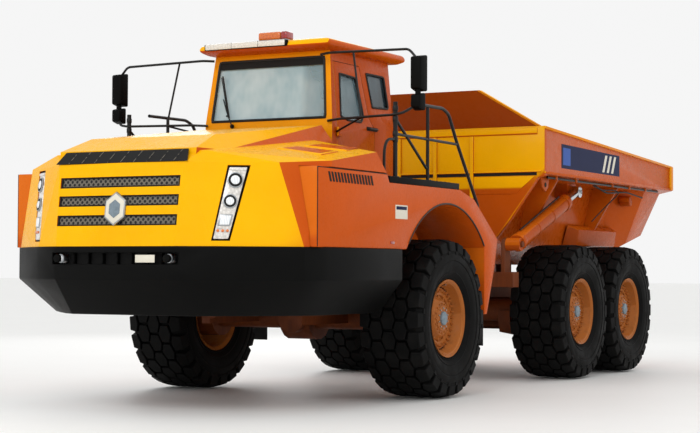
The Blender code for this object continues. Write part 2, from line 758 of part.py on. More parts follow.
def cab_skin(inset):
    """Cab box, straight up to its belt and drawn in above it."""
    def ring(z, taper):
        x = CAB_HALF_WIDTH - inset - CAB_TAPER_X * taper
        front = CAB_FRONT_Y + inset + CAB_TAPER_FRONT * taper
        rear = CAB_REAR_Y - inset
        return [(-x, front, z), (x, front, z), (x, rear, z), (-x, rear, z)]

    return loft([ring(CAB_FLOOR + inset, 0.0), ring(CAB_BELT, 0.0), ring(CAB_TOP - inset, 1.0)])


def door_outline(inset):
    """Door in side view: narrow beside the window, wider below the belt."""
    return [
        (DOOR_FRONT_Y + inset, DOOR_BOTTOM + inset),
        (DOOR_FRONT_Y + inset, DOOR_TOP - inset),
        (DOOR_SPLIT_Y - 0.16 - inset, DOOR_TOP - inset),
        (DOOR_SPLIT_Y - inset, CAB_BELT + 0.10),
        (DOOR_REAR_Y - inset, CAB_BELT - 0.04 - inset / 2),
        (DOOR_REAR_Y - inset, DOOR_BOTTOM + inset),
    ]


def door_window(inset):
    """Glass opening in the door, a long way down at its rear."""
    return [
        (-0.76 + inset, CAB_BELT + 0.06 + inset),
        (-0.70 + inset, 4.13 - inset),
        (-0.25 - inset, 4.11 - inset),
        (-0.13 - inset, 3.62),
        (-0.20 - inset, CAB_BELT + 0.02 + inset),
        (-0.55, CAB_BELT + 0.02 + inset),
    ]


def quarter_window(inset):
    """Small side window behind the door."""
    return [
        (0.12 + inset, 3.74 + inset),
        (0.02 + inset, 4.20 - inset),
        (0.54 - inset, 4.20 - inset),
        (0.60 - inset, 3.76 + inset),
    ]


def front_window(inset):
    """Windscreen opening."""
    return [
        (-0.86 + inset, CAB_BELT + 0.03 + inset),
        (0.86 - inset, CAB_BELT + 0.03 + inset),
        (0.79 - inset, 4.33 - inset),
        (-0.79 + inset, 4.33 - inset),
    ]


def back_window(inset):
    """Rear window opening."""
    return [
        (-0.66 + inset, 3.62 + inset),
        (0.66 - inset, 3.62 + inset),
        (0.62 - inset, 4.22 - inset),
        (-0.62 + inset, 4.22 - inset),
    ]


def side_prism(outline, side):
    """Side-view outline run through one side of the cab."""
    return slab([outline], "X", *across(side, 0.5, 1.3))


def make_glass(name, window, finish="glass", pivot=(0.0, 0.0, 0.0)):
    """A pane that follows the cab's skin and fills a window."""
    pane = cab_skin(GLASS_DEPTH)
    core = cab_skin(GLASS_DEPTH + GLASS_THICKNESS)
    make_part(name, pane, finish, keep=[window], cut=[core], pivot=pivot)


def make_cab():
    """Cab shell, door, glass, roof, seat and controls."""
    windows = [
        slab([front_window(0.0)], "Y", -1.3, -0.6),
        slab([back_window(0.0)], "Y", 0.4, 1.0),
        side_prism(door_outline(0.0), 1),
        side_prism(quarter_window(0.0), 1),
        side_prism(door_window(0.0), -1),
        side_prism(quarter_window(0.0), -1),
    ]
    hinge_x, hinge_y = DOOR_HINGE[:2]
    fixed, turning = [], []
    for z in (2.95, 3.36):
        fixed.append(rod((hinge_x, hinge_y, z), (hinge_x, hinge_y, z + 0.06), KNUCKLE_RADIUS + 0.006, 12))
        low = z - 0.06 - GAP
        turning.append(rod((hinge_x, hinge_y, low), (hinge_x, hinge_y, z - GAP), KNUCKLE_RADIUS, 12))
        strap = (hinge_x - KNUCKLE_RADIUS + 0.001, hinge_x + 0.012)
        turning.append(box(strap, (hinge_y, hinge_y + 0.08), (low, z - GAP)))
        turning.append(box((CAB_HALF_WIDTH - 0.02, strap[1]), (hinge_y + 0.03, hinge_y + 0.08), (low, z - GAP)))
    make_part("cab_shell", cab_skin(0.0), "paint_orange", add=fixed, cut=[cab_skin(CAB_WALL), *windows])
    inner = cab_skin(CAB_WALL)
    leaf = side_prism(door_outline(PIVOT_PLAY), 1)
    opening = side_prism(door_window(0.0), 1)
    make_part("cab_door", cab_skin(0.0), "paint_orange", keep=[leaf], cut=[inner, opening], late=turning,
              pivot=DOOR_HINGE)
    make_glass("door_glass", side_prism(door_window(GAP), 1), pivot=DOOR_HINGE)
    make_glass("windscreen", slab([front_window(GAP)], "Y", -1.3, -0.6))
    make_glass("rear_window", slab([back_window(GAP)], "Y", 0.4, 1.0))
    make_glass("quarter_glass_left", side_prism(quarter_window(GAP), 1))
    make_glass("quarter_glass_right", side_prism(quarter_window(GAP), -1))
    make_glass("side_glass_right", side_prism(door_window(GAP), -1))
    top = CAB_TOP + GAP
    rings = []
    for z, x, front, rear in ((top, 0.90, -1.00, 0.92), (top + 0.05, 0.98, -1.14, 1.04),
                              (ROOF_TOP - 0.03, 0.96, -1.10, 0.98), (ROOF_TOP, 0.82, -0.96, 0.82)):
        rings.append([(-x, front, z), (x, front, z), (x, rear, z), (-x, rear, z)])
    make_part("cab_roof", loft(rings), "paint_yellow")
    bar = box((-0.16, 0.28), (-0.98, -0.80), (ROOF_TOP + GAP, ROOF_TOP + 0.12))
    make_part("beacon_bar", bar, "amber_lens")


def make_cab_inside():
    """Seat and dash with the steering wheel, standing on the cab floor."""
    floor = CAB_FLOOR + CAB_WALL + GAP
    pedestal = box((-0.20, 0.20), (-0.02, 0.38), (floor, 3.02))
    cushion = box((-0.28, 0.28), (-0.14, 0.42), (3.00, 3.16))
    back = hull([(s * x, y, z) for s in (1, -1) for x, y, z in
                 ((0.27, 0.30, 3.05), (0.27, 0.44, 3.05), (0.22, 0.42, 3.80), (0.22, 0.52, 3.80))])
    make_part("seat", pedestal, "seat_cloth", add=[cushion, back])
    dash = box((-0.70, 0.70), (CAB_FRONT_Y + CAB_WALL + GAP, -0.66), (floor, 3.34))
    column = rod((0, -0.70, 3.20), (0, -0.40, 3.50), 0.04, 10)
    wheel = rod((0, -0.42, 3.47), (0, -0.39, 3.50), 0.20, 16)
    make_part("dash", dash, "black_plastic", add=[column, wheel])


# Rails and mirrors


def make_rails_and_mirrors():
    """Tube guard on each deck, and a mirror on its arms at each front corner of the cab."""
    foot = DECK_Z + DECK_THICKNESS + GAP
    x = 1.98
    slope = Vector((SLOPE_END[0] - SLOPE_TOP[0], SLOPE_END[1] - SLOPE_TOP[1])).normalized()
    normal = Vector((-slope[1], slope[0]))
    on_slope = Vector(SLOPE_TOP) + slope * 0.36
    landing = on_slope + normal * (GAP + 0.001)
    knee = on_slope + normal * 0.14
    for side_name, side in SIDES:
        s = side
        post = pipe([(s * x, -1.25, foot), (s * x, -1.25, 3.66)], 0.028)
        rails = [
            pipe([(s * x, -0.36, foot), (s * x, -0.36, 3.69)], 0.022),
            pipe([(s * x, -0.80, 3.68), (s * x, 0.08, 3.69), (s * x, 0.25, 3.63), (s * x, 0.49, 3.30),
                  (s * x, knee[0], knee[1]), (s * x, landing[0], landing[1])], 0.022),
            pipe([(s * x, -1.25, 3.27), (s * x, 0.49, 3.26)], 0.018),
            pipe([(s * x, -1.24, 3.45), (s * x, -0.40, 2.90)], 0.018),
            pipe([(s * x, -1.25, 3.20), (s * x, -1.45, 3.20), (s * x, -1.54, 3.08), (s * x, -1.54, foot)], 0.018),
        ]
        make_part(f"handrail_{side_name}", post, "black_tube", add=rails)
        glass_x = 2.23
        case = box(across(side, glass_x - 0.09, glass_x + 0.09), (-1.20, -1.06), (3.78, 4.23))
        low_case = box(across(side, glass_x - 0.08, glass_x + 0.09), (-1.22, -1.08), (3.55, 3.80))
        clear = 0.004
        arms = [
            low_case,
            pipe([(s * 0.80, CAB_FRONT_Y - 0.03, 4.33), (s * 0.95, -1.05, 4.34), (s * 2.10, -1.13, 4.31),
                  (s * 2.20, -1.13, 4.20)], 0.016),
            pipe([(s * 0.90, CAB_FRONT_Y - 0.02 - clear, 3.49), (s * 1.10, -1.08, 3.50),
                  (s * x, -1.25 - 0.028 - 0.016 - GAP, 3.50), (s * 2.10, -1.28, 3.52), (s * 2.22, -1.15, 3.62)], 0.016),
            pipe([(s * 1.30, -1.074, 4.33), (s * 1.45, -1.143, 3.50)], 0.013),
            pipe([(s * (CAB_HALF_WIDTH + 0.02), -0.90, 3.36), (s * 1.45, -1.14, 3.50)], 0.013),
        ]
        make_part(f"mirror_{side_name}", case, "black_plastic", add=arms)


# Hydraulic cylinders


def point_between(start, end, distance):
    """The point on the way from start to end, that far from start."""
    start, end = Vector(start), Vector(end)
    return start + (end - start).normalized() * distance


def make_steering_cylinders():
    """Barrels on the front frame's brackets, with rods that reach the hitch's arm."""
    for side_name, side in SIDES:
        base = (side * STEER_BASE[0], STEER_BASE[1], STEER_BASE[2])
        eye = (side * STEER_EYE[0], STEER_EYE[1], STEER_EYE[2])
        barrel_end = point_between(base, eye, STEER_BARREL_LENGTH)
        barrel = rod(point_between(base, eye, 0.05), barrel_end, STEER_BARREL_RADIUS)
        lug = rod((base[0], base[1], base[2] - 0.10 + GAP), (base[0], base[1], base[2] + 0.10 - GAP), 0.07)
        pin = rod((base[0], base[1], base[2] - 0.2), (base[0], base[1], base[2] + 0.2), 0.032, 12)
        bore = rod(point_between(base, eye, 0.12), point_between(base, eye, 1.1), STEER_ROD_RADIUS + GAP)
        make_part(f"steer_barrel_{side_name}", barrel, "paint_orange", add=[lug], cut=[pin, bore], pivot=base)
        length = (Vector(eye) - Vector(base)).length
        shaft_start = point_between(base, eye, STEER_BARREL_LENGTH - STEER_STROKE - 0.09)
        shaft = rod(shaft_start, point_between(base, eye, length - 0.03), STEER_ROD_RADIUS)
        head = rod((eye[0], eye[1], eye[2] - 0.05), (eye[0], eye[1], eye[2] + 0.05), 0.06)
        make_part(f"steer_rod_{side_name}", shaft, "chrome_rod", add=[head], pivot=base)


def make_hoist_cylinders():
    """Two-stage hoists from the rear frame's outriggers to the bed's brackets."""
    for side_name, side in SIDES:
        x = side * HOIST_X
        base = Vector((x, *HOIST_BASE))
        eye = Vector((x, *HOIST_EYE))
        length = (eye - base).length
        barrel = rod(point_between(base, eye, 0.06), point_between(base, eye, HOIST_BARREL_LENGTH), HOIST_BARREL_RADIUS)
        inner = HOIST_X - HOIST_BARREL_RADIUS - 0.01 + GAP
        lug = rod((side * inner, *HOIST_BASE), (side * (HOIST_X + 0.09), *HOIST_BASE), 0.095)
        pin = rod((side * (inner - 0.1), *HOIST_BASE), (side * (HOIST_X + HOIST_BARREL_RADIUS + 0.02), *HOIST_BASE), 0.047, 12)
        stage_room = rod(point_between(base, eye, 0.30), point_between(base, eye, length), HOIST_STAGE_RADIUS + GAP)
        make_part(f"hoist_barrel_{side_name}", barrel, "paint_orange", add=[lug], cut=[pin, stage_room], pivot=base)
        stage = rod(point_between(base, eye, 0.32), point_between(base, eye, HOIST_BARREL_LENGTH + 0.10), HOIST_STAGE_RADIUS)
        rod_room = rod(point_between(base, eye, 0.40), point_between(base, eye, length), HOIST_ROD_RADIUS + GAP)
        make_part(f"hoist_stage_{side_name}", stage, "chrome_rod", cut=[rod_room], pivot=base)
        shaft = rod(point_between(base, eye, 0.42), point_between(base, eye, length - 0.04), HOIST_ROD_RADIUS)
        head = rod((side * (HOIST_X - 0.07), *HOIST_EYE), (side * (HOIST_X + 0.07), *HOIST_EYE), 0.09)
        make_part(f"hoist_rod_{side_name}", shaft, "chrome_rod", add=[head], pivot=base)


# Dump body


def bed_ring(y, flare, rise, top):
    """Outer section of the body: floor, sloping walls and the overhanging side rails."""
    half = [
        (0.92, BED_FLOOR + rise),
        (1.18 + 0.30 * flare, 2.02 + rise * 0.6),
        (1.40 + 0.42 * flare, 2.97),
        (RAIL_HALF_WIDTH, BED_RAIL_BOTTOM),
        (RAIL_HALF_WIDTH, top),
    ]
    return [(x, y, z) for x, z in both_ways(half)]


def bed_room(y, flare, rise, top):
    """Inner section of the body, open at the top."""
    half = [
        (0.86, BED_FLOOR + BED_PLATE + rise),
        (1.12 + 0.30 * flare, 2.06 + rise * 0.6),
        (1.33 + 0.42 * flare, 3.05),
        (RAIL_HALF_WIDTH - 0.12, 3.20),
        (RAIL_HALF_WIDTH - 0.12, top + 0.3),
    ]
    return [(x, y, z) for x, z in both_ways(half)]


def make_bed():
    """Hollow dump body with its front plate, hinge lugs and hoist brackets, and the spill guard."""
    def top_at(y):
        share = (y - BED_FRONT_Y) / (BED_REAR_Y - BED_FRONT_Y)
        return RAIL_FRONT_TOP + (RAIL_REAR_TOP - RAIL_FRONT_TOP) * share

    stations = ((BED_FRONT_Y + 0.06, 0.0, 0.0), (BED_FLARE_Y, 0.0, 0.0), (BED_TAIL_Y, 1.0, 0.12), (BED_REAR_Y, 1.0, 0.38))
    outer = loft([bed_ring(y, flare, rise, top_at(y)) for y, flare, rise in stations])
    inner_y = (BED_FRONT_Y + 0.14, BED_FLARE_Y, BED_TAIL_Y, BED_REAR_Y + 0.05)
    room = loft([bed_room(y, flare, rise, top_at(y)) for y, (_, flare, rise) in zip(inner_y, stations)])
    plate = [
        (RAIL_HALF_WIDTH, RAIL_FRONT_TOP),
        (RAIL_HALF_WIDTH, BED_RAIL_BOTTOM - 0.02),
        (1.94, 2.97),
        (1.50, 2.36),
        (1.20, 2.00),
        (0.94, BED_FLOOR),
    ]
    joined = [slab([both_ways(plate)], "Y", BED_FRONT_Y, BED_FRONT_Y + 0.10)]
    hinge_y, hinge_z = BED_HINGE[1], BED_HINGE[2]
    cuts = [room, rod((-1, hinge_y, hinge_z), (1, hinge_y, hinge_z), 0.0515)]
    for side in (1, -1):
        lug = [
            (hinge_y - 0.28, BED_FLOOR + 0.03),
            *arc((hinge_y, hinge_z), 0.12, 200, 340, 5),
            (hinge_y + 0.28, BED_FLOOR + 0.03),
        ]
        joined.append(slab([lug], "X", *across(side, RAIL_OUTER + GAP, RAIL_OUTER + 0.12)))
        eye_y, eye_z = HOIST_EYE
        bracket = [
            (eye_y - 0.22, BED_RAIL_BOTTOM + 0.05),
            (eye_y - 0.14, eye_z - 0.10),
            (eye_y + 0.14, eye_z - 0.10),
            (eye_y + 0.22, BED_RAIL_BOTTOM + 0.05),
        ]
        inner_side = HOIST_X - 0.07 - GAP
        joined.append(slab([bracket], "X", *across(side, inner_side - 0.22, inner_side)))
    make_part("bed_body", outer, "paint_orange", add=joined, cut=cuts, pivot=BED_HINGE)
    base_z = RAIL_FRONT_TOP + GAP
    guard = hull(mirrored([
        (1.98, BED_FRONT_Y, base_z),
        (1.98, BED_FRONT_Y + 0.06, base_z),
        (1.27, BED_FRONT_Y - 0.55, base_z + 0.50),
        (1.27, BED_FRONT_Y - 0.49, base_z + 0.50),
    ]))
    make_part("spill_guard", guard, "paint_orange", pivot=BED_HINGE)


def main():
    """Build every part."""
    make_wheels()
    make_axles()
    make_walking_beams()
    make_front_frame()
    make_hitch()
    make_rear_frame()
    make_skirt()
    make_fenders()
    make_decks()
    make_hood()
    make_engine()
    make_cab()
    make_cab_inside()
    make_rails_and_mirrors()
    make_steering_cylinders()
    make_hoist_cylinders()
    make_bed()


main()
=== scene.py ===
import json
import math

import bpy
from mathutils import Matrix, Vector
from mathutils.bvhtree import BVHTree

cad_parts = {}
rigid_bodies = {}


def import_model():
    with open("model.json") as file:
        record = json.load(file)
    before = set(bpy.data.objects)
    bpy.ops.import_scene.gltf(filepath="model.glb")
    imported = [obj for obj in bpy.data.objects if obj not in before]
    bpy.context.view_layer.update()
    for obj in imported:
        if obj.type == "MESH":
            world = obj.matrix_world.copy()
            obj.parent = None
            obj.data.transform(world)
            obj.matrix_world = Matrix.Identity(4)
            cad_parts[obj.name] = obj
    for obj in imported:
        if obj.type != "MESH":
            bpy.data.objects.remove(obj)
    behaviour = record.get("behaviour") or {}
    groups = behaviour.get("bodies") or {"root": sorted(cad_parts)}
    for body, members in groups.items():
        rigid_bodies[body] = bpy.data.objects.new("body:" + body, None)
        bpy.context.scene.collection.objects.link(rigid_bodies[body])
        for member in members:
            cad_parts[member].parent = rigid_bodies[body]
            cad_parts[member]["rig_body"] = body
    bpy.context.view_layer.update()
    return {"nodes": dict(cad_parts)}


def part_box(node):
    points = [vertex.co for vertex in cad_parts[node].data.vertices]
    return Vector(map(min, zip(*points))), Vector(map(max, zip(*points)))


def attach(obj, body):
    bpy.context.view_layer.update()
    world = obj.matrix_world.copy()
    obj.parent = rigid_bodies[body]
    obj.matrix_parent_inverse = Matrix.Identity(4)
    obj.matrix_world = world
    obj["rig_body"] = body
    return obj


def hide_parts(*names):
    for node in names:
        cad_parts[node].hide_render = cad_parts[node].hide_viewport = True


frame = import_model()

bl_info = {
    "name": "Articulated Dump Truck",
    "version": (1, 0, 0),
    "blender": (4, 5, 0),
    "location": "View3D > Sidebar > Dump Truck",
    "description": "Finished bodywork, tyres, cab and load body for an articulated dump truck",
    "category": "Object",
}


def middle(node):
    """The middle of a CAD node's box."""
    low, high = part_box(node)
    return (low + high) / 2


# Every place below is written from the front axle's line, with z from the ground.
FRONT_AXLE = Vector((0.0, middle("tyre_front_left").y, 0.0))
TYRE_RADIUS = (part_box("tyre_front_left")[1].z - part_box("tyre_front_left")[0].z) / 2
TYRE_HALF_WIDTH = (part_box("tyre_front_left")[1].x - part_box("tyre_front_left")[0].x) / 2
RIM_RADIUS = (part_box("rim_front_left")[1].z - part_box("rim_front_left")[0].z) / 2
WHEELS = [f"{axle}_{side}" for axle in ("front", "mid", "rear") for side in ("left", "right")]
SIDES = (("left", 1), ("right", -1))
FINISHES = {}

# Sizes in metres: heights from the ground, x out from the truck's middle and y back from the front axle.
HUB_HEIGHT = 1.01
MID_AXLE_Y, REAR_AXLE_Y = 4.674, 6.788
HOIST_X = 1.66
HOIST_BASE, HOIST_EYE = (3.20, 2.00), (5.60, 2.86)
FLANK_X = 2.098
ARCH_RADIUS = 1.455
RAIL_X = 1.98
DECK_TOP = 2.741
RAIL_POST_Y = -1.25
MIRROR_X = 2.23
BUMPER_LAMP_HEIGHT = 1.735
CAB_MIDDLE = (0.0, -0.14, 3.6)
WHEEL_CENTRE = Vector((0, -0.41, 3.48))
SEAT_HEIGHT = 3.12
BED_FRONT_Y, BED_REAR_Y = 3.345, 9.195
BAND_LOW, BAND_HIGH = 3.14, 3.50
CAMERA_PLACE = Vector((11.3708, -19.5359, 1.6180))
BEND_STEPS = 6
BASE_COLOUR = "Base Color"


# Finishes


def srgb(text):
    """The linear colour of an sRGB hex value."""
    parts = [int(text[i:i + 2], 16) / 255 for i in (1, 3, 5)]
    return tuple(c / 12.92 if c <= 0.04045 else ((c + 0.055) / 1.055) ** 2.4 for c in parts) + (1.0,)


def add(tree, kind, inputs=None, **settings):
    """A shader node with its settings, its values and its links."""
    node = tree.nodes.new("ShaderNode" + kind)
    for name, value in settings.items():
        setattr(node, name, value)
    for name, value in (inputs or {}).items():
        if isinstance(value, bpy.types.NodeSocket):
            tree.links.new(value, node.inputs[name])
        else:
            node.inputs[name].default_value = value
    return node


def surface(name, **values):
    """A material with the shader's own values, and its node tree, shader and object coordinates."""
    material = bpy.data.materials.new(name)
    material.use_nodes = True
    tree = material.node_tree
    shader = tree.nodes["Principled BSDF"]
    for key, value in values.items():
        shader.inputs[key.replace("_", " ")].default_value = value
    place = add(tree, "TexCoord").outputs["Object"]
    FINISHES[name] = material
    return tree, shader, place


def speckle(tree, place, scale, detail=4.0, rough=0.6):
    """A cloudy pattern's value on object coordinates."""
    return add(tree, "TexNoise",
               {"Vector": place, "Scale": scale, "Detail": detail, "Roughness": rough}).outputs[0]


def between(tree, factor, low, high):
    """A number or colour that runs from low to high with factor."""
    if isinstance(low, str):
        node = add(tree, "Mix", {0: factor, 6: srgb(low), 7: srgb(high)}, data_type="RGBA")
        return node.outputs[2]
    return add(tree, "MapRange", {"Value": factor, "To Min": low, "To Max": high}).outputs[0]


def stepped(tree, value, low, high):
    """Zero below low, one above high and smooth between them."""
    return add(tree, "MapRange", {"Value": value, "From Min": low, "From Max": high},
               interpolation_type="SMOOTHSTEP").outputs[0]


def bumped(tree, shader, height, depth, strength=1.0):
    """A height pattern, in metres, on the shader's normal."""
    shader_normal = add(tree, "Bump", {"Height": height, "Distance": depth, "Strength": strength})
    tree.links.new(shader_normal.outputs[0], shader.inputs["Normal"])


def enamel(name, face, flank, shade=0.84):
    """Two-pack gloss enamel sprayed over steel, one paint given painted light and shade: a lit face colour
    where it faces forward and up, and a flank colour of painted shade on the flanks.

    The eye sees a satin gloss, a faint orange-peel skin of about 6 mm, cloudy film build and road dust
    low down.
    """
    tree, shader, place = surface(name, Roughness=0.36, Coat_Weight=0.04, Coat_Roughness=0.08,
                                  Specular_IOR_Level=0.06)
    # Painted light and shade: parts facing forward and up past the shade value get the lit face colour, the
    # rest the flank colour as painted shade.
    facing = add(tree, "VectorMath", {0: add(tree, "TexCoord").outputs["Normal"], 1: (0.0, -1.0, 1.0)},
                 operation="DOT_PRODUCT").outputs["Value"]
    tone = add(tree, "Mix",
               {0: stepped(tree, facing, shade - 0.03, shade + 0.03), 6: srgb(flank), 7: srgb(face)},
               data_type="RGBA").outputs[2]
    cloud = between(tree, speckle(tree, place, 1.3, 3.0), 0.86, 1.10)
    tone = add(tree, "VectorMath", {0: tone, 3: cloud}, operation="SCALE").outputs[0]
    height = add(tree, "SeparateXYZ", {0: place}).outputs[2]
    low = stepped(tree, height, 2.3, 0.6)
    grit = stepped(tree, speckle(tree, place, 9.0, 8.0, 0.7), 0.42, 0.75)
    dust = add(tree, "Math", {0: low, 1: grit}, operation="MULTIPLY").outputs[0]
    dust = add(tree, "Math", {0: dust, 1: 0.35}, operation="MULTIPLY").outputs[0]
    tone = add(tree, "Mix", {0: dust, 6: tone, 7: srgb("#4A3424")}, data_type="RGBA").outputs[2]
    tree.links.new(tone, shader.inputs[BASE_COLOUR])
    tree.links.new(between(tree, grit, 0.26, 0.44), shader.inputs["Roughness"])
    bumped(tree, shader, speckle(tree, place, 160.0, 2.0), 0.0006, 0.5)


def make_finishes():
    """Every finish on the truck and its floor."""
    colours = bpy.context.scene.truck_colours
    # Each enamel below is one paint split into a lit face colour and a painted-shade flank colour;
    # shadow_enamel is a painted-shade copy.
    enamel("gold_enamel", hexed(colours.front_lit_gold), hexed(colours.flank_shade_orange))
    enamel("cab_enamel", "#F49A08", "#B84A0C")
    enamel("orange_enamel", "#D96A14", hexed(colours.flank_shade_orange))
    enamel("bed_enamel", "#FAB406", "#C2540F")
    enamel("wall_enamel", "#CC6412", "#B04C10")
    # A painted highlight: bright strips along lit top edges.
    enamel("highlight_enamel", "#FFB81C", "#E88C12")
    enamel("shadow_enamel", "#CC5C12", "#A04410")
    enamel("rim_enamel", "#B87038", "#A8622C")

    # Chassis enamel, brushed on steel sections: dull, streaked by rain and dusty.
    tree, shader, place = surface("chassis_enamel", Roughness=0.6, Specular_IOR_Level=0.25)
    streak = add(tree, "Mapping", {"Vector": place, "Scale": (14.0, 14.0, 2.0)}).outputs[0]
    tree.links.new(between(tree, speckle(tree, streak, 1.0), "#4A220C", "#7E3C12"),
                   shader.inputs[BASE_COLOUR])
    bumped(tree, shader, speckle(tree, place, 90.0), 0.001, 0.6)

    # Natural rubber compound: nearly black, matt, finely pitted, grey with dust in cloudy patches.
    tree, shader, place = surface("tyre_rubber", Roughness=0.74, Specular_IOR_Level=0.08)
    dust = stepped(tree, speckle(tree, place, 5.0, 9.0, 0.7), 0.35, 0.8)
    tree.links.new(between(tree, dust, "#070707", "#1A1918"), shader.inputs[BASE_COLOUR])
    tree.links.new(between(tree, dust, 0.55, 0.92), shader.inputs["Roughness"])
    bumped(tree, shader, speckle(tree, place, 120.0, 5.0), 0.0015, 0.6)

    # Injection-moulded polyethylene: black with a 3 mm leather-like grain and a soft sheen.
    tree, shader, place = surface("moulded_black", Roughness=0.42, Specular_IOR_Level=0.06)
    patch = speckle(tree, place, 2.0, 3.0)
    tree.links.new(between(tree, patch, "#050505", "#0E0E0D"), shader.inputs[BASE_COLOUR])
    tree.links.new(between(tree, patch, 0.38, 0.58), shader.inputs["Roughness"])
    cells = add(tree, "TexVoronoi", {"Vector": place, "Scale": 330.0}).outputs["Distance"]
    bumped(tree, shader, cells, 0.0007, 0.5)

    # Black powder coat on steel tube: even, slightly pebbled.
    tree, shader, place = surface("powder_coat", Roughness=0.38, Specular_IOR_Level=0.3)
    tree.links.new(between(tree, speckle(tree, place, 6.0), "#060606", "#121211"), shader.inputs[BASE_COLOUR])
    bumped(tree, shader, speckle(tree, place, 260.0, 2.0), 0.0005, 0.6)

    # Hard chrome on a ground rod: bright, with lengthwise smears of oil.
    tree, shader, place = surface("hard_chrome", Metallic=1.0, Roughness=0.1)
    smear = add(tree, "Mapping", {"Vector": place, "Scale": (40.0, 2.0, 40.0)}).outputs[0]
    tree.links.new(between(tree, speckle(tree, smear, 1.0), 0.06, 0.24), shader.inputs["Roughness"])
    tree.links.new(between(tree, speckle(tree, smear, 2.0), "#B9BCC0", "#DADCDE"), shader.inputs[BASE_COLOUR])

    # Zinc-plated steel: satin grey with a mottled passivation.
    tree, shader, place = surface("zinc_steel", Metallic=1.0, Roughness=0.36)
    tree.links.new(between(tree, speckle(tree, place, 60.0), "#8B8F92", "#BFC3C6"),
                   shader.inputs[BASE_COLOUR])
    bumped(tree, shader, speckle(tree, place, 300.0), 0.0003, 0.4)

    # Grey-blue paint on the hub caps: cool against the orange rims. On the mirror glass the same grey-blue is
    # a painted reflection.
    tree, shader, place = surface("cap_paint", Roughness=0.45)
    tree.links.new(between(tree, speckle(tree, place, 25.0), "#4C5A63", "#8C9CA6"),
                   shader.inputs[BASE_COLOUR])

    # Laminated safety glass: a pale sky-tinted sheet with faint dust in streaks. On the clear glass the pale
    # colour is a painted reflection, more opaque at x below 0.42 m than above 0.58 m.
    for name, alpha, low, high in (("clear_glass", 0.78, "#9DBCC6", "#C9DCE0"),
                                   ("side_glass", 0.30, "#6E8C96", "#9FB6BC"),
                                   ("dark_glass", 0.80, "#141A1E", "#3E5058")):
        tree, shader, place = surface(name, Roughness=0.05, Alpha=alpha, Specular_IOR_Level=0.7, IOR=1.52)
        if name == "clear_glass":
            # Painted reflection: the clear glass's pale colour shows more where x is below 0.42 m.
            painted_reflection_side = add(tree, "SeparateXYZ", {0: place}).outputs[0]
            tree.links.new(between(tree, stepped(tree, painted_reflection_side, 0.42, 0.58), alpha, 0.42),
                           shader.inputs["Alpha"])
        haze = add(tree, "Mapping", {"Vector": place, "Scale": (1.3, 1.3, 0.8)}).outputs[0]
        tree.links.new(between(tree, stepped(tree, speckle(tree, haze, 1.6, 3.0), 0.3, 0.7), low, high),
                       shader.inputs[BASE_COLOUR])
        tree.links.new(between(tree, speckle(tree, place, 8.0), 0.03, 0.14), shader.inputs["Roughness"])

    # Polycarbonate lamp cover over a facetted reflector: bright and milky, the lens ribbed 28 mm apart.
    # The reflector's off-white is a painted reflection of its mirror, each facet painted light in its middle
    # and darker at its edge.
    tree, shader, place = surface("lamp_reflector", Metallic=0.15, Roughness=0.2, Coat_Weight=0.6,
                                  Coat_Roughness=0.04)
    facet = add(tree, "TexVoronoi", {"Vector": place, "Scale": 34.0},
                distance="CHEBYCHEV").outputs["Distance"]
    tree.links.new(between(tree, facet, "#F6F1EA", "#A9A49C"), shader.inputs[BASE_COLOUR])
    bumped(tree, shader, facet, 0.004, 0.5)
    tree, shader, place = surface("lamp_lens", Roughness=0.05, Coat_Weight=1.0, Alpha=0.9,
                                  Emission_Strength=0.12, Emission_Color=(1, 1, 1, 1))
    rib = add(tree, "TexWave", {"Vector": place, "Scale": 22.0, "Distortion": 0.5}).outputs["Fac"]
    tree.links.new(between(tree, rib, "#FFFFFF", "#CBD3D8"), shader.inputs[BASE_COLOUR])
    bumped(tree, shader, rib, 0.002, 0.4)

    # Amber and red acrylic: a deep clear colour over a diamond-pressed back.
    for name, low, high in (("amber_acrylic", "#F58A07", "#C4560A"), ("red_acrylic", "#C4140C", "#7E0B08"),
                            ("white_acrylic", "#F6F3EA", "#D4D1C8")):
        tree, shader, place = surface(name, Roughness=0.12, Coat_Weight=1.0, Coat_Roughness=0.03)
        press = add(tree, "TexVoronoi", {"Vector": place, "Scale": 70.0},
                    distance="MANHATTAN").outputs["Distance"]
        tree.links.new(between(tree, press, low, high), shader.inputs[BASE_COLOUR])
        bumped(tree, shader, press, 0.002, 0.5)

    # Woven polyester seat cover: dark grey, a twill drawn 14 mm apart, coarse enough to show.
    tree, shader, place = surface("seat_weave", Roughness=0.95, Sheen_Weight=0.4)
    warp = add(tree, "TexWave", {"Vector": place, "Scale": 26.0}, bands_direction="DIAGONAL").outputs["Fac"]
    tree.links.new(between(tree, warp, "#141619", "#34383D"), shader.inputs[BASE_COLOUR])
    bumped(tree, shader, warp, 0.002, 0.8)

    # Punched steel screen: a staggered field of holes, drawn 65 mm apart because holes 15 mm apart
    # are too fine to show.
    tree, shader, place = surface("punched_screen", Roughness=0.5, Metallic=0.2)
    apart = add(tree, "SeparateXYZ", {0: place})
    along = add(tree, "Math", {0: apart.outputs[0], 1: apart.outputs[2]}, operation="ADD").outputs[0]
    across = add(tree, "Math", {0: apart.outputs[0], 1: apart.outputs[2]}, operation="SUBTRACT").outputs[0]
    grid = add(tree, "CombineXYZ", {0: along, 1: across}).outputs[0]
    hole = add(tree, "TexVoronoi", {"Vector": grid, "Scale": 15.0, "Randomness": 0.0},
               voronoi_dimensions="2D").outputs["Distance"]
    # The holes are painted near-black: painted shade behind them.
    painted_hole_shade = stepped(tree, hole, 0.40, 0.30)
    tree.links.new(between(tree, painted_hole_shade, "#6E685C", "#030303"), shader.inputs[BASE_COLOUR])
    bumped(tree, shader, painted_hole_shade, -0.004)

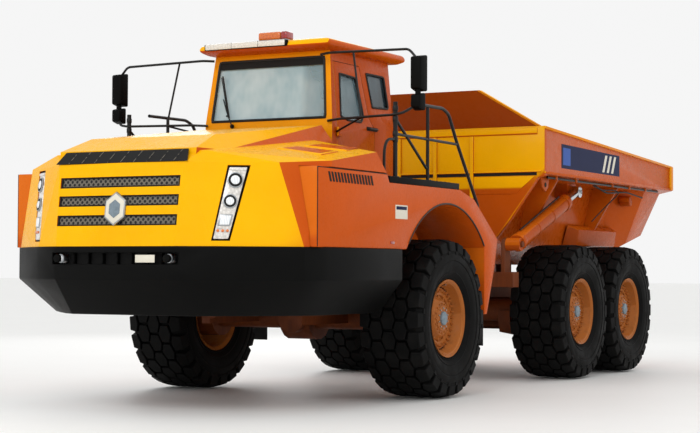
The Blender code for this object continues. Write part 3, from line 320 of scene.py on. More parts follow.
    # Vinyl film: satin navy with a slight ripple over the steel beneath.
    for name, low, high in (("navy_vinyl", "#0A1438", "#101C48"), ("pale_vinyl", "#30509A", "#4A68B0"),
                            ("cream_vinyl", "#E9E4D6", "#CFC8B6")):
        tree, shader, place = surface(name, Roughness=0.45, Specular_IOR_Level=0.08)
        tree.links.new(between(tree, speckle(tree, place, 3.0), low, high), shader.inputs[BASE_COLOUR])
        bumped(tree, shader, speckle(tree, place, 14.0), 0.001, 0.4)

    # Braided hose rubber: matt black with the braid showing as bands 10 mm apart.
    tree, shader, place = surface("hose_rubber", Roughness=0.65)
    tree.links.new(between(tree, speckle(tree, place, 30.0), "#060606", "#161513"),
                   shader.inputs[BASE_COLOUR])
    bumped(tree, shader, add(tree, "TexWave", {"Vector": place, "Scale": 60.0}).outputs["Fac"], 0.001, 0.6)

    # Painted shade in openings behind grilles and slots, and plain black trim and joints: near-black that
    # keeps a trace of grain.
    tree, shader, place = surface("black_and_painted_shade", Roughness=0.9)
    tree.links.new(between(tree, speckle(tree, place, 20.0), "#030303", "#0C0B0A"),
                   shader.inputs[BASE_COLOUR])

    # Smooth studio floor: pale grey, faintly mottled.
    tree, shader, place = surface("studio_floor", Roughness=0.55)
    tree.links.new(between(tree, speckle(tree, place, 0.5), "#F1F1EF", "#F7F7F5"), shader.inputs[BASE_COLOUR])


def hexed(colour):
    """A user's colour as an sRGB hex value."""
    parts = [12.92 * c if c <= 0.0031308 else 1.055 * c ** (1 / 2.4) - 0.055 for c in colour[:3]]
    return "#" + "".join(f"{round(255 * max(0.0, min(1.0, c))):02X}" for c in parts)


# Making shapes


def pick(*pieces):
    """Only these pieces are selected, and the first is the active one."""
    if bpy.context.object and bpy.context.object.mode != "OBJECT":
        bpy.ops.object.mode_set(mode="OBJECT")
    bpy.ops.object.select_all(action="DESELECT")
    for piece in pieces:
        piece.select_set(True)
    if pieces:
        bpy.context.view_layer.objects.active = pieces[0]


def settled(finish):
    """The new primitive with its place in its mesh and one finish."""
    piece = bpy.context.object
    bpy.ops.object.transform_apply(location=True, rotation=True, scale=True)
    piece.data.materials.clear()
    piece.data.materials.append(FINISHES[finish])
    return piece


def rounded(piece, width, segments=2, angle=30):
    """The piece with its edges rounded by a bevel modifier, applied."""
    if width > 0:
        pick(piece)
        bevel = piece.modifiers.new("edges", "BEVEL")
        bevel.width = width
        bevel.segments = segments
        bevel.limit_method = "ANGLE"
        bevel.angle_limit = math.radians(angle)
        bpy.ops.object.modifier_apply(modifier=bevel.name)
    return piece


def block(finish, low, high, bevel=0.01, segments=2):
    """A block between two corners, its edges rounded."""
    pick()
    bpy.ops.mesh.primitive_cube_add(size=1.0, location=[(a + b) / 2 for a, b in zip(low, high)],
                                    scale=[b - a for a, b in zip(low, high)])
    return rounded(settled(finish), bevel, segments)


def beside(finish, side, x, half, low, high, bevel=0.01, segments=2):
    """A block between two (y, z) corners, reaching half each way from x on one side of the truck."""
    return block(finish, (side * x - half, *low), (side * x + half, *high), bevel, segments)


def on_side(side, *points):
    """Points of the left side, or their mirror images on the right."""
    return [(side * x, y, z) for x, y, z in points]


def behind(points, depth):
    """The points moved back along the truck."""
    return [(x, y + depth, z) for x, y, z in points]


def bar(finish, start, end, radius, sides=24, bevel=0.0, end_radius=None):
    """A round bar or cone between two points."""
    start, end = Vector(start), Vector(end)
    pick()
    bpy.ops.mesh.primitive_cone_add(
        vertices=sides, radius1=radius, radius2=radius if end_radius is None else end_radius,
        depth=(end - start).length, location=(start + end) / 2,
        rotation=(end - start).to_track_quat("Z", "Y").to_euler())
    return rounded(settled(finish), bevel)


def slab(finish, near, far, bevel=0.0, segments=2):
    """A solid from one outline of points to another of as many points."""
    pick()
    bpy.ops.mesh.primitive_circle_add(vertices=len(near), fill_type="NGON")
    piece = settled(finish)
    for vertex, point in zip(piece.data.vertices, near):
        vertex.co = point
    bpy.ops.object.mode_set(mode="EDIT")
    bpy.ops.mesh.select_all(action="SELECT")
    bpy.ops.mesh.extrude_region_move(TRANSFORM_OT_translate={"value": (0.0, 0.0, 0.0)})
    bpy.ops.object.mode_set(mode="OBJECT")
    for vertex in piece.data.vertices:
        if vertex.select:
            index = min(range(len(near)), key=lambda i: (Vector(near[i]) - vertex.co).length)
            vertex.co = far[index]
    outwards(piece)
    return rounded(piece, bevel, segments)


def outwards(piece):
    """The piece's faces turned outwards, after doubled points are merged."""
    pick(piece)
    bpy.ops.object.mode_set(mode="EDIT")
    bpy.ops.mesh.select_all(action="SELECT")
    bpy.ops.mesh.remove_doubles(threshold=0.00005)
    bpy.ops.mesh.normals_make_consistent(inside=False)
    bpy.ops.object.mode_set(mode="OBJECT")


def plate(finish, outline, axis, low, high, bevel=0.004):
    """An outline in the plane across an axis, given a thickness along it."""
    place = {"x": lambda a, b, t: (t, a, b), "y": lambda a, b, t: (a, t, b), "z": lambda a, b,
             t: (a, b, t)}[axis]
    return slab(finish, [place(a, b, low) for a, b in outline], [place(a, b, high) for a, b in outline],
                bevel)


def spun(finish, profile, centre, steps=72, axis="X"):
    """A closed outline of (distance along the axle, radius) points, spun about the axle through centre."""
    pick()
    bpy.ops.mesh.primitive_circle_add(vertices=len(profile), fill_type="NOTHING")
    piece = settled(finish)
    turned = {"X": lambda u, r: (u, 0.0, r), "Z": lambda u, r: (r, 0.0, u), "Y": lambda u,
              r: (r, u, 0.0)}[axis]
    for vertex, (u, r) in zip(piece.data.vertices, profile):
        vertex.co = Vector(turned(u, r)) + Vector(centre)
    bpy.ops.object.mode_set(mode="EDIT")
    bpy.ops.mesh.select_all(action="SELECT")
    line = {"X": (1, 0, 0), "Z": (0, 0, 1), "Y": (0, 1, 0)}[axis]
    bpy.ops.mesh.spin(steps=steps, angle=math.tau, center=centre, axis=line)
    bpy.ops.object.mode_set(mode="OBJECT")
    outwards(piece)
    return piece


def tube(finish, points, radius, reach=0.0, sides=3):
    """A round tube along points, its corners bent over a reach."""
    line = [Vector(points[0])]
    for before, corner, after in zip(points, points[1:], points[2:]):
        before, corner, after = Vector(before), Vector(corner), Vector(after)
        if not reach:
            line.append(corner)
            continue
        into = corner + (before - corner).normalized() * min(reach, (before - corner).length * 0.48)
        out = corner + (after - corner).normalized() * min(reach, (after - corner).length * 0.48)
        shares = [t / BEND_STEPS for t in range(BEND_STEPS + 1)]
        line += [into.lerp(corner, share).lerp(corner.lerp(out, share), share) for share in shares]
    line.append(Vector(points[-1]))
    pick()
    bpy.ops.curve.primitive_nurbs_path_add()
    path = bpy.context.object.data
    path.splines.clear()
    spline = path.splines.new("POLY")
    spline.points.add(len(line) - 1)
    for point, place in zip(spline.points, line):
        point.co = (*place, 1.0)
    path.dimensions = "3D"
    path.bevel_depth = radius
    path.bevel_resolution = sides
    path.use_fill_caps = True
    bpy.ops.object.convert(target="MESH")
    return settled(finish)


def copied(piece, matrix):
    """A copy of the piece with its own mesh, placed by a matrix."""
    twin = piece.copy()
    twin.data = piece.data.copy()
    bpy.context.collection.objects.link(twin)
    twin.data.transform(matrix)
    if matrix.determinant() < 0:
        twin.data.flip_normals()
    return twin


def ring(piece, count, centre, axis="X"):
    """Copies of a piece all round an axle; the first one is the piece itself."""
    centre = Vector(centre)
    there, back = Matrix.Translation(centre), Matrix.Translation(-centre)
    return [piece,
            *[copied(piece, there @ Matrix.Rotation(math.tau * i / count, 4, axis) @ back)
              for i in range(1, count)]]


def finished(name, parts, body, cad=(), place=FRONT_AXLE, smooth=35):
    """The parts joined as one named piece that rides on a body and may stand for CAD nodes."""
    pick(*parts)
    if len(parts) > 1:
        bpy.ops.object.join()
    piece = bpy.context.object
    piece.data.transform(Matrix.Translation(place))
    piece.name = name
    piece.data.name = name
    pick(piece)
    bpy.ops.object.shade_smooth_by_angle(angle=math.radians(smooth))
    if cad:
        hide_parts(*cad)
    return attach(piece, body)


def from_cad(node, finish, bevel=0.0, segments=2, angle=30):
    """A CAD node's shape as a new piece, merged and with its edges rounded, moved back to the axle's line."""
    source = frame["nodes"][node]
    piece = bpy.data.objects.new(node, source.data.copy())
    bpy.context.collection.objects.link(piece)
    piece.data.materials.clear()
    piece.data.materials.append(FINISHES[finish])
    for face in piece.data.polygons:
        face.material_index = 0
    pick(piece)
    bpy.ops.object.mode_set(mode="EDIT")
    bpy.ops.mesh.select_all(action="SELECT")
    bpy.ops.mesh.customdata_custom_splitnormals_clear()
    bpy.ops.mesh.remove_doubles(threshold=0.0002)
    bpy.ops.mesh.dissolve_limited(angle_limit=math.radians(1.0))
    bpy.ops.object.mode_set(mode="OBJECT")
    piece.data.transform(Matrix.Translation(-FRONT_AXLE))
    return rounded(piece, bevel, segments, angle)


def lined(piece, centre, finish):
    """The faces that look towards a centre given a second finish, as a cab's trim is."""
    piece.data.materials.append(FINISHES[finish])
    for face in piece.data.polygons:
        if (face.center - Vector(centre)).dot(face.normal) < 0:
            face.material_index = 1
    return piece


def body_of(node):
    """The CAD body that a node rides on."""
    return frame["nodes"][node]["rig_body"]


# Running gear


def make_tyre():
    """A carcass with ribbed walls, and staggered hexagonal blocks and shoulder lugs all round it."""
    settings = bpy.context.scene.truck_sizes
    half = TYRE_HALF_WIDTH
    crown = TYRE_RADIUS - settings.tread_depth
    wall = [
        (0.0, crown), (half - 0.145, crown - 0.004), (half - 0.075, crown - 0.022),
        (half - 0.03, crown - 0.075),
        (half - 0.006, 0.835), (half - 0.012, 0.825), (half, 0.80), (half - 0.001, 0.74),
        (half - 0.010, 0.73),
        (half - 0.006, 0.715), (half - 0.018, 0.65), (half - 0.035, 0.60), (half - 0.030, 0.588),
        (half - 0.050, 0.56),
        (half - 0.070, 0.535), (half - 0.062, 0.52), (half - 0.090, 0.497), (half - 0.098, 0.474),
    ]
    outline = wall + [(-u, r) for u, r in reversed(wall[1:])]
    carcass = spun("tyre_rubber", outline, (0.0, 0.0, 0.0), 84)
    pitches = settings.tread_pitches
    pitch = math.tau / pitches

    def on_tread(points, radius):
        """Points across the tread and round it, in radians, at a radius."""
        return [(u, radius * math.sin(a), radius * math.cos(a)) for u, a in points]

    def tread_block(u, a, width, length, top=TYRE_RADIUS - 0.006):
        """One hexagonal block, a little wider at its foot."""
        shape = [(-0.5, 0.0), (-0.30, -0.5), (0.30, -0.5), (0.5, 0.0), (0.30, 0.5), (-0.30, 0.5)]
        low = [(u + width * 1.04 * p, a + length * 1.04 * q) for p, q in shape]
        high = [(u + width * p, a + length * q) for p, q in shape]
        return slab("tyre_rubber", on_tread(low, crown - 0.012), on_tread(high, top), 0.004, 1)

    blocks = []
    for column in (-1, 0, 1):
        stagger = 0.5 * pitch if column else 0.0
        blocks.append(tread_block(column * 0.166, stagger, 0.186, pitch * 0.86))
    for side in (1, -1):
        lug_low = [(0.244, 0.0, 0.93), (0.276, -0.45, 0.93), (half - 0.004, -0.38, 0.845),
                   (half - 0.004, 0.38, 0.845), (0.276, 0.45, 0.93)]
        lug_high = [(0.250, 0.0, 1.004), (0.280, -0.43, 1.004), (half - 0.022, -0.36, 0.975),
                    (half - 0.022, 0.36, 0.975), (0.280, 0.43, 1.004)]
        low, high = ([(side * u, r * math.sin(a * pitch), r * math.cos(a * pitch)) for u, a, r in lug]
                     for lug in (lug_low, lug_high))
        blocks.append(slab("tyre_rubber", low, high, 0.008, 1))
        first, last = 0.5 * pitch - 0.05, 0.5 * pitch + 0.05
        low = [(0.86, first), (0.86, last), (0.81, last - 0.012), (0.81, first + 0.012)]
        high = [(0.855, first + 0.008), (0.855, last - 0.008), (0.815, last - 0.02), (0.815, first + 0.02)]
        low = [(side * (half - 0.02), r * math.sin(a), r * math.cos(a)) for r, a in low]
        high = [(side * (half - 0.0015), r * math.sin(a), r * math.cos(a)) for r, a in high]
        blocks.append(slab("tyre_rubber", low, high, 0.003, 1))
    pick(*blocks)
    bpy.ops.object.join()
    tread = bpy.context.object
    repeats = ring(tread, pitches, (0.0, 0.0, 0.0))
    pick(carcass, *repeats)
    bpy.ops.object.join()
    return bpy.context.object


class TRUCK_OT_tyres(bpy.types.Operator):
    """Six tyres with hexagonal tread blocks, shoulder lugs and ribbed walls"""
    bl_idname = "truck.tyres"
    bl_label = "Tyres"

    def execute(self, context):
        tyre = make_tyre()
        for wheel in WHEELS:
            node = f"tyre_{wheel}"
            turn = Matrix.Rotation(math.radians(7.0 * WHEELS.index(wheel)), 4, "X")
            twin = copied(tyre, turn)
            finished(f"tread_{wheel}", [twin], body_of(node), [node], middle(node), 30)
        bpy.data.objects.remove(tyre)
        return {"FINISHED"}


class TRUCK_OT_rims(bpy.types.Operator):
    """Six rims with rings of nuts and studs, webs, a hub cover and a valve"""
    bl_idname = "truck.rims"
    bl_label = "Rims"

    def execute(self, context):
        edge = RIM_RADIUS
        lip = [
            (0.352, edge - 0.012), (0.358, edge - 0.002), (0.350, edge), (0.335, edge - 0.006),
            (0.325, 0.468),
            (-0.325, 0.468), (-0.335, edge - 0.006), (-0.350, edge), (-0.358, edge - 0.002),
            (-0.352, edge - 0.012),
            (-0.33, 0.445), (0.05, 0.425), (0.07, 0.20), (0.190, 0.20), (0.196, 0.400), (0.25, 0.425),
            (0.33, 0.445),
        ]
        shell = spun("rim_enamel", lip, (0, 0, 0), 72)
        lock = spun("rim_enamel",
                    [(0.318, 0.448), (0.338, 0.455), (0.346, 0.468), (0.338, 0.474), (0.318, 0.472)],
                    (0, 0, 0), 72)
        flange = spun("rim_enamel",
                      [(0.18, 0.392), (0.212, 0.392), (0.222, 0.384), (0.222, 0.30), (0.212, 0.292),
                       (0.18, 0.292)], (0, 0, 0), 60)
        hub = spun("rim_enamel", [
            (0.15, 0.285), (0.205, 0.275), (0.230, 0.240), (0.256, 0.222), (0.262, 0.212), (0.262, 0.165),
            (0.276, 0.158), (0.280, 0.120), (0.280, 0.001), (0.15, 0.001)], (0, 0, 0), 48)
        cap = spun("cap_paint",
                   [(0.278, 0.090), (0.300, 0.086), (0.308, 0.074), (0.310, 0.001), (0.278, 0.001)],
                   (0, 0, 0), 40)
        shade = spun("black_and_painted_shade", [(0.19, 0.396), (0.206, 0.398), (0.222, 0.424), (0.19, 0.424)], (0, 0, 0),
                     60)
        nuts = []
        # Count, ring radius, place along the axle, size and height.
        rows = ((28, 0.348, 0.220, 0.018, 0.036), (16, 0.190, 0.260, 0.013, 0.018),
                (10, 0.128, 0.276, 0.011, 0.016), (32, 0.410, 0.208, 0.013, 0.024))
        for count, radius, at, size, height in rows:
            nut = bar("zinc_steel" if count == 10 else "rim_enamel", (at, 0, radius),
                      (at + height, 0, radius), size, 6, 0.002)
            nuts += ring(nut, count, (0, 0, 0))
        stud = bar("rim_enamel", (0.254, 0, 0.348), (0.268, 0, 0.348), 0.009, 8)
        nuts += ring(stud, 28, (0, 0, 0))
        web = block("rim_enamel", (0.17, -0.012, 0.235), (0.222, 0.012, 0.290), 0.004)
        nuts += ring(web, 12, (0, 0, 0))
        valve = tube("zinc_steel", [(0.13, 0.06, 0.408), (0.20, 0.06, 0.412), (0.30, 0.04, 0.425)], 0.006,
                     0.02)
        pick(shell, lock, flange, shade, hub, cap, valve, *nuts)
        bpy.ops.object.join()
        wheel_disc = bpy.context.object
        for wheel in WHEELS:
            node = f"rim_{wheel}"
            turn = Matrix.Rotation(math.radians(11.0 * WHEELS.index(wheel)), 4, "X")
            if wheel.endswith("right"):
                turn = Matrix.Rotation(math.pi, 4, "Z") @ turn
            finished(f"wheel_{wheel}", [copied(wheel_disc, turn)], body_of(node), [node], middle(node),
                     40)
        bpy.data.objects.remove(wheel_disc)
        return {"FINISHED"}


class TRUCK_OT_chassis(bpy.types.Operator):
    """Frames, axles, hitch, walking beams and engine block, with the rear drive shaft and hoses"""
    bl_idname = "truck.chassis"
    bl_label = "Chassis"

    def execute(self, context):
        for node, bevel in (("front_frame", 0.0), ("rear_frame", 0.008), ("hitch", 0.01),
                            ("front_axle", 0.008),
                            ("mid_axle", 0.008), ("rear_axle", 0.008), ("walking_beam_left", 0.02),
                            ("walking_beam_right", 0.02), ("engine_block", 0.02)):
            piece = from_cad(node, "chassis_enamel", bevel, 1, 45)
            finished(f"{node}_steel", [piece], body_of(node), [node])
        extras = []
        for y in (MID_AXLE_Y, REAR_AXLE_Y):
            near, far = (-0.02, y - 0.30, HUB_HEIGHT), (-0.02, y - 0.52, HUB_HEIGHT)
            extras.append(bar("chassis_enamel", near, far, 0.13, 24, 0.01, 0.07))
        extras.append(bar("chassis_enamel", (0, 5.00, HUB_HEIGHT), (0, 6.40, HUB_HEIGHT), 0.06, 20))
        for x in (-0.16, 0.16):
            extras.append(tube("hose_rubber", [(x, 3.3, 1.50), (x, 4.1, 1.30), (x, 4.6, 1.34)], 0.018, 0.12))
        finished("rear_driveline", extras, "rear_chassis")
        return {"FINISHED"}


class TRUCK_OT_cylinders(bpy.types.Operator):
    """Hoist and steering cylinders, each hoist with a gland, a foot ring, two bands and a pipe"""
    bl_idname = "truck.cylinders"
    bl_label = "Cylinders"

    def execute(self, context):
        painted, chromed = ("wall_enamel", "paint_orange"), ("hard_chrome", "chrome_rod")
        kinds = (("hoist_barrel", painted), ("hoist_stage", chromed), ("hoist_rod", chromed),
                 ("steer_barrel", painted), ("steer_rod", chromed))
        for side_name, side in SIDES:
            for kind, (finish, slot) in kinds:
                node = f"{kind}_{side_name}"
                finished(f"{node}_steel", [from_cad(node, finish)], body_of(node), [node])
            base, eye = Vector((side * HOIST_X, *HOIST_BASE)), Vector((side * HOIST_X, *HOIST_EYE))
            way = (eye - base).normalized()
            gland = bar("wall_enamel", base + way * 1.90, base + way * 2.03, 0.132, 28, 0.008)
            foot = bar("wall_enamel", base + way * 0.05, base + way * 0.16, 0.130, 28, 0.008)
            bands = [bar("wall_enamel", base + way * t, base + way * (t + 0.03), 0.126, 28, 0.003)
                     for t in (0.7, 1.3)]
            above = Vector((0, -0.03, 0.145))
            pipe = tube("powder_coat", [base + way * 0.2 + above, base + way * 1.82 + above], 0.013)
            body = body_of(f"hoist_barrel_{side_name}")
            finished(f"hoist_trim_{side_name}", [gland, foot, pipe, *bands], body)
        return {"FINISHED"}


# Front bodywork


def on_nose(x, z, out=0.0):
    """The point on the hood's front face at x and z, moved out of it."""
    return (x, -4.26 + 0.02 * abs(x) / 0.8 + 0.14 * (z - 1.87) - out, z)


class TRUCK_OT_hood(bpy.types.Operator):
    """Hood with its shoulder scoops, grille screens, badge and corner lamps"""
    bl_idname = "truck.hood"
    bl_label = "Hood"

    def execute(self, context):
        shell = from_cad("hood_shell", "gold_enamel", 0.022, 3, 18)
        finished("hood_panel", [shell], "hood", ["hood_shell"], smooth=6)

        screens = []
        mid_x = [-0.815, -0.40, 0.0, 0.40, 0.815]

        def strip(z0, z1, out):
            """A strip across the nose between two heights."""
            return [on_nose(x, z0, out) for x in mid_x] + [on_nose(x, z1, out) for x in reversed(mid_x)]

        for low, high in ((2.53, 2.65), (2.32, 2.44), (2.10, 2.22)):
            front = strip(low + 0.004, high - 0.004, -0.022)
            screens.append(slab("punched_screen", front, behind(front, 0.02)))
            # Black strips along each screen's top, bottom and ends: painted shade at the opening's edges.
            for z0, z1 in ((low + 0.002, low + 0.016), (high - 0.016, high - 0.002)):
                front = strip(z0, z1, -0.004)
                screens.append(slab("black_and_painted_shade", front, behind(front, 0.03), 0.003))
            for x in (-0.812, 0.798):
                front = [on_nose(x, low + 0.004, -0.004), on_nose(x + 0.014, low + 0.004, -0.004),
                         on_nose(x + 0.014, high - 0.004, -0.004), on_nose(x, high - 0.004, -0.004)]
                screens.append(slab("black_and_painted_shade", front, behind(front, 0.03), 0.003))
        # A black sheet behind the screens: painted shade inside the grille.
        screens.append(block("black_and_painted_shade", (-0.90, -4.03, 2.02), (0.90, -3.99, 2.72), 0.0))
        finished("grille_screens", screens, "hood", ["grille"])

        lips = [(-0.90, -4.118, 2.806), (0.90, -4.118, 2.806), (0.84, -4.006, 2.945), (-0.84, -4.006, 2.945)]
        # The slot is a black sheet: painted shade in the opening.
        intake = [slab("black_and_painted_shade", lips, [(x, y - 0.008, z + 0.003) for x, y, z in lips])]
        for i in range(9):
            x = -0.72 + 0.18 * i
            intake.append(tube("punched_screen", [(x, -4.125, 2.812), (x + 0.05, -4.018, 2.942)], 0.004))
        finished("intake_slot", intake, "hood")

        corners = [math.radians(60 * i + 30) for i in range(6)]
        hexagon = [(0.165 * math.cos(angle), 0.200 * math.sin(angle)) for angle in corners]

        def facing(scale, out):
            """The badge's hexagon on the nose at a scale, moved out of it."""
            return [on_nose(scale * a, 2.288 + scale * b, out) for a, b in hexagon]

        badge = [
            slab("zinc_steel", facing(1.0, -0.02), facing(0.94, 0.022), 0.004),
            slab("cream_vinyl", facing(0.90, 0.0), facing(0.84, 0.026), 0.003),
            slab("cap_paint", facing(0.56, 0.0), facing(0.50, 0.034), 0.004),
        ]
        finished("hood_badge", badge, "hood")

        for side_name, side in SIDES:
            finished(f"corner_lamp_{side_name}", self.corner_lamp(side), "hood",
                     [f"headlight_{side_name}"])
            finished(f"hood_scoops_{side_name}", self.scoops(side), "hood")
        return {"FINISHED"}

    def corner_lamp(self, side):
        """A dark surround, a reflector painted bright as a painted reflection, two round lamps, a square one
        and three small amber ones.
        """
        corners = [(1.259, -3.865, 2.763), (1.464, -3.722, 2.763), (1.343, -3.948, 1.93),
                   (1.178, -4.070, 1.93)]
        corners = [Vector(corner) for corner in corners]
        across = (corners[1] - corners[0]).normalized()
        up = (corners[0] - corners[3]).normalized()
        outward = up.cross(across).normalized()
        if outward.y > 0:
            outward = -outward

        def at(u, v, out):
            """u across the lamp from 0 to 1, v up it, and a distance out of it."""
            low = corners[3].lerp(corners[2], u)
            high = corners[0].lerp(corners[1], u)
            return low.lerp(high, v) + outward * out

        def panel(finish, u0, u1, v0, v1, back, front, bevel=0.006):
            """A flat plate over part of the lamp, from one distance out of it to another."""
            near = [at(u0, v0, back), at(u1, v0, back), at(u1, v1, back), at(u0, v1, back)]
            far = [at(u0, v0, front), at(u1, v0, front), at(u1, v1, front), at(u0, v1, front)]
            return slab(finish, near, far, bevel)

        parts = [panel("moulded_black", 0.02, 0.98, 0.005, 0.995, -0.07, -0.012, 0.008)]
        parts.append(panel("lamp_reflector", 0.10, 0.90, 0.025, 0.975, -0.02, 0.002, 0.01))
        for v, size in ((0.80, 0.080), (0.52, 0.072)):
            centre = at(0.5, v, 0.0)
            parts.append(bar("zinc_steel", centre, centre + outward * 0.020, size + 0.008, 32, 0.004))
            parts.append(bar("black_and_painted_shade", centre, centre + outward * 0.022, size - 0.004, 32, 0.002))
            parts.append(bar("lamp_lens", centre, centre + outward * 0.030, size - 0.012, 32, 0.008,
                             size * 0.55))
        parts.append(panel("zinc_steel", 0.18, 0.82, 0.27 - 0.075, 0.27 + 0.075, 0.0, 0.012, 0.004))
        parts.append(panel("lamp_lens", 0.25, 0.75, 0.27 - 0.062, 0.27 + 0.062, 0.0, 0.018, 0.006))
        for u in (0.25, 0.5, 0.75):
            centre = at(u, 0.13, 0.0)
            parts.append(bar("amber_acrylic", centre, centre + outward * 0.016, 0.016, 16, 0.003))
        parts.append(panel("lamp_reflector", 0.12, 0.88, 0.93, 0.965, 0.0, 0.010, 0.003))
        if side < 0:
            return [self.mirrored(part) for part in parts]
        return parts

    def mirrored(self, part):
        """The part's mirror image on the other side, in its place."""
        twin = copied(part, Matrix.Scale(-1, 4, (1, 0, 0)))
        bpy.data.objects.remove(part)
        return twin

    def scoops(self, side):
        """Two raised frames on the shoulder, each with a deeper orange panel of painted shade in it."""
        parts = []
        shell = frame["nodes"]["hood_shell"].data
        hood = BVHTree.FromPolygons([v.co for v in shell.vertices],
                                    [list(f.vertices) for f in shell.polygons])

        def on_shoulder(outline, out):
            """The outline's points on the hood's top, moved up from it."""
            return [above(x, y, out) for x, y in outline]

        def above(x, y, out):
            """The point over the hood's top at x and y."""
            place = hood.ray_cast(Vector((side * x, y + FRONT_AXLE.y, 10.0)), Vector((0, 0, -1)))[0]
            if place is None:
                raise RuntimeError("a scoop's corner lies off the hood")
            return (side * x, y, place.z - FRONT_AXLE.z + out)

        for y in (-2.95, -2.35):
            outer = [(1.34, y), (1.34, y + 0.42), (1.86, y + 0.50), (1.86, y + 0.10)]
            inner = [(1.38, y + 0.05), (1.38, y + 0.38), (1.82, y + 0.45), (1.82, y + 0.14)]
            parts.append(slab("gold_enamel", on_shoulder(outer, -0.02), on_shoulder(outer, 0.012), 0.006))
            parts.append(slab("shadow_enamel", on_shoulder(inner, -0.01), on_shoulder(inner, 0.014)))
        return parts


class TRUCK_OT_bumper(bpy.types.Operator):
    """Black front skirt with its slot, fog lamps, two bosses and a blank plate"""
    bl_idname = "truck.bumper"
    bl_label = "Bumper and skirt"

    def execute(self, context):
        shell = from_cad("front_skirt", "moulded_black", 0.012, 2, 25)
        parts = [shell]
        for x in (-0.926, 0.900):
            parts.append(bar("moulded_black", (x * 0.82, -4.24, BUMPER_LAMP_HEIGHT),
                             (x * 0.82, -4.285, BUMPER_LAMP_HEIGHT), 0.045, 24, 0.006))
        finished("skirt_shell", parts, "tractor", ["front_skirt"], smooth=28)
        # The slot is a black sheet behind the bars: painted shade in the opening.
        trim = [block("black_and_painted_shade", (-0.85, -4.12, 1.66), (0.85, -4.10, 1.81), 0.0)]
        for i in range(7):
            x = -0.60 + 0.2 * i
            trim.append(block("moulded_black", (x - 0.008, -4.17, 1.675), (x + 0.008, -4.11, 1.795), 0.002))
        z = BUMPER_LAMP_HEIGHT
        for x in (-0.74, 0.74):
            trim.append(bar("zinc_steel", (x, -4.13, z), (x, -4.235, z), 0.050, 28, 0.005))
            trim.append(bar("lamp_lens", (x, -4.20, z), (x, -4.250, z), 0.042, 28, 0.008, 0.030))
        trim.append(block("cream_vinyl", (0.30, -4.245, 1.69), (0.56, -4.235, 1.775), 0.004))
        finished("bumper_lamps", trim, "tractor")
        return {"FINISHED"}


class TRUCK_OT_fenders(bpy.types.Operator):
    """Side panels and wheel arches with louvres, an arch lip, blank labels, mud flaps, decks and steps"""
    bl_idname = "truck.fenders"
    bl_label = "Fenders and decks"

    def execute(self, context):
        for side_name, side in SIDES:
            node = f"fender_{side_name}"
            panel = from_cad(node, "orange_enamel", 0.014, 2, 20)
            finished(f"side_panel_{side_name}", [panel], "tractor", [node], smooth=24)
            deck = from_cad(f"deck_{side_name}", "moulded_black", 0.006)
            strips = [beside("moulded_black", side, 1.52, 0.5, (-1.50 + 0.12 * i, 2.738),
                             (-1.46 + 0.12 * i, 2.750), 0.003, 1) for i in range(15)]
            finished(f"deck_tread_{side_name}", [deck, *strips], "tractor",
                     [f"deck_{side_name}"])

            # Each louvre is a black slot on the panel: painted shade in the opening.
            louvres = []
            for i in range(15):
                y = -3.13 + i * 0.071
                slot = [(y + 0.060, 2.605), (y + 0.102, 2.605), (y + 0.057, 2.715), (y + 0.015, 2.715)]
                near, far = ([(side * x, a, b) for a, b in slot] for x in (FLANK_X - 0.002, FLANK_X + 0.005))
                louvres.append(slab("black_and_painted_shade", near, far))
            finished(f"louvres_{side_name}", louvres, "tractor")

            turns = [math.radians(angle) for angle in range(40, 144, 4)]
            arc = [(side * FLANK_X, ARCH_RADIUS * math.cos(a), HUB_HEIGHT + ARCH_RADIUS * math.sin(a))
                   for a in turns]
            lip = [tube("powder_coat", arc, 0.011)]
            lip.append(beside("cream_vinyl", side, 2.099, 0.003, (-1.474, 2.234), (-1.152, 2.401), 0.001))
            lip.append(beside("navy_vinyl", side, 2.1005, 0.003, (-1.45, 2.345), (-1.176, 2.385), 0.001))
            lip.append(beside("red_acrylic", side, 2.10, 0.006, (-1.60, 1.93), (-1.50, 1.96), 0.003))
            lip.append(beside("black_and_painted_shade", side, FLANK_X, 0.0035, (-3.349, 1.875), (-3.338, 2.760), 0.001))
            lip.append(beside("black_and_painted_shade", side, FLANK_X, 0.0035, (-3.349, 2.752), (-1.690, 2.761), 0.001))
            finished(f"arch_trim_{side_name}", lip, "tractor")

            corners = [(side * x, z) for x, z in ((1.30, 0.62), (2.06, 0.62), (2.06, 1.10), (1.30, 1.10))]
            flap = plate("hose_rubber", corners, "y", 1.16, 1.175, 0.004)
            finished(f"mud_flap_{side_name}", [flap], "tractor")

            steps = [beside("gold_enamel", side, 1.50, 0.28, (0.80 + 0.17 * i, 2.60 - 0.17 * i),
                            (0.98 + 0.17 * i, 2.63 - 0.17 * i), 0.008) for i in range(3)]
            finished(f"slope_steps_{side_name}", steps, "tractor")
        return {"FINISHED"}


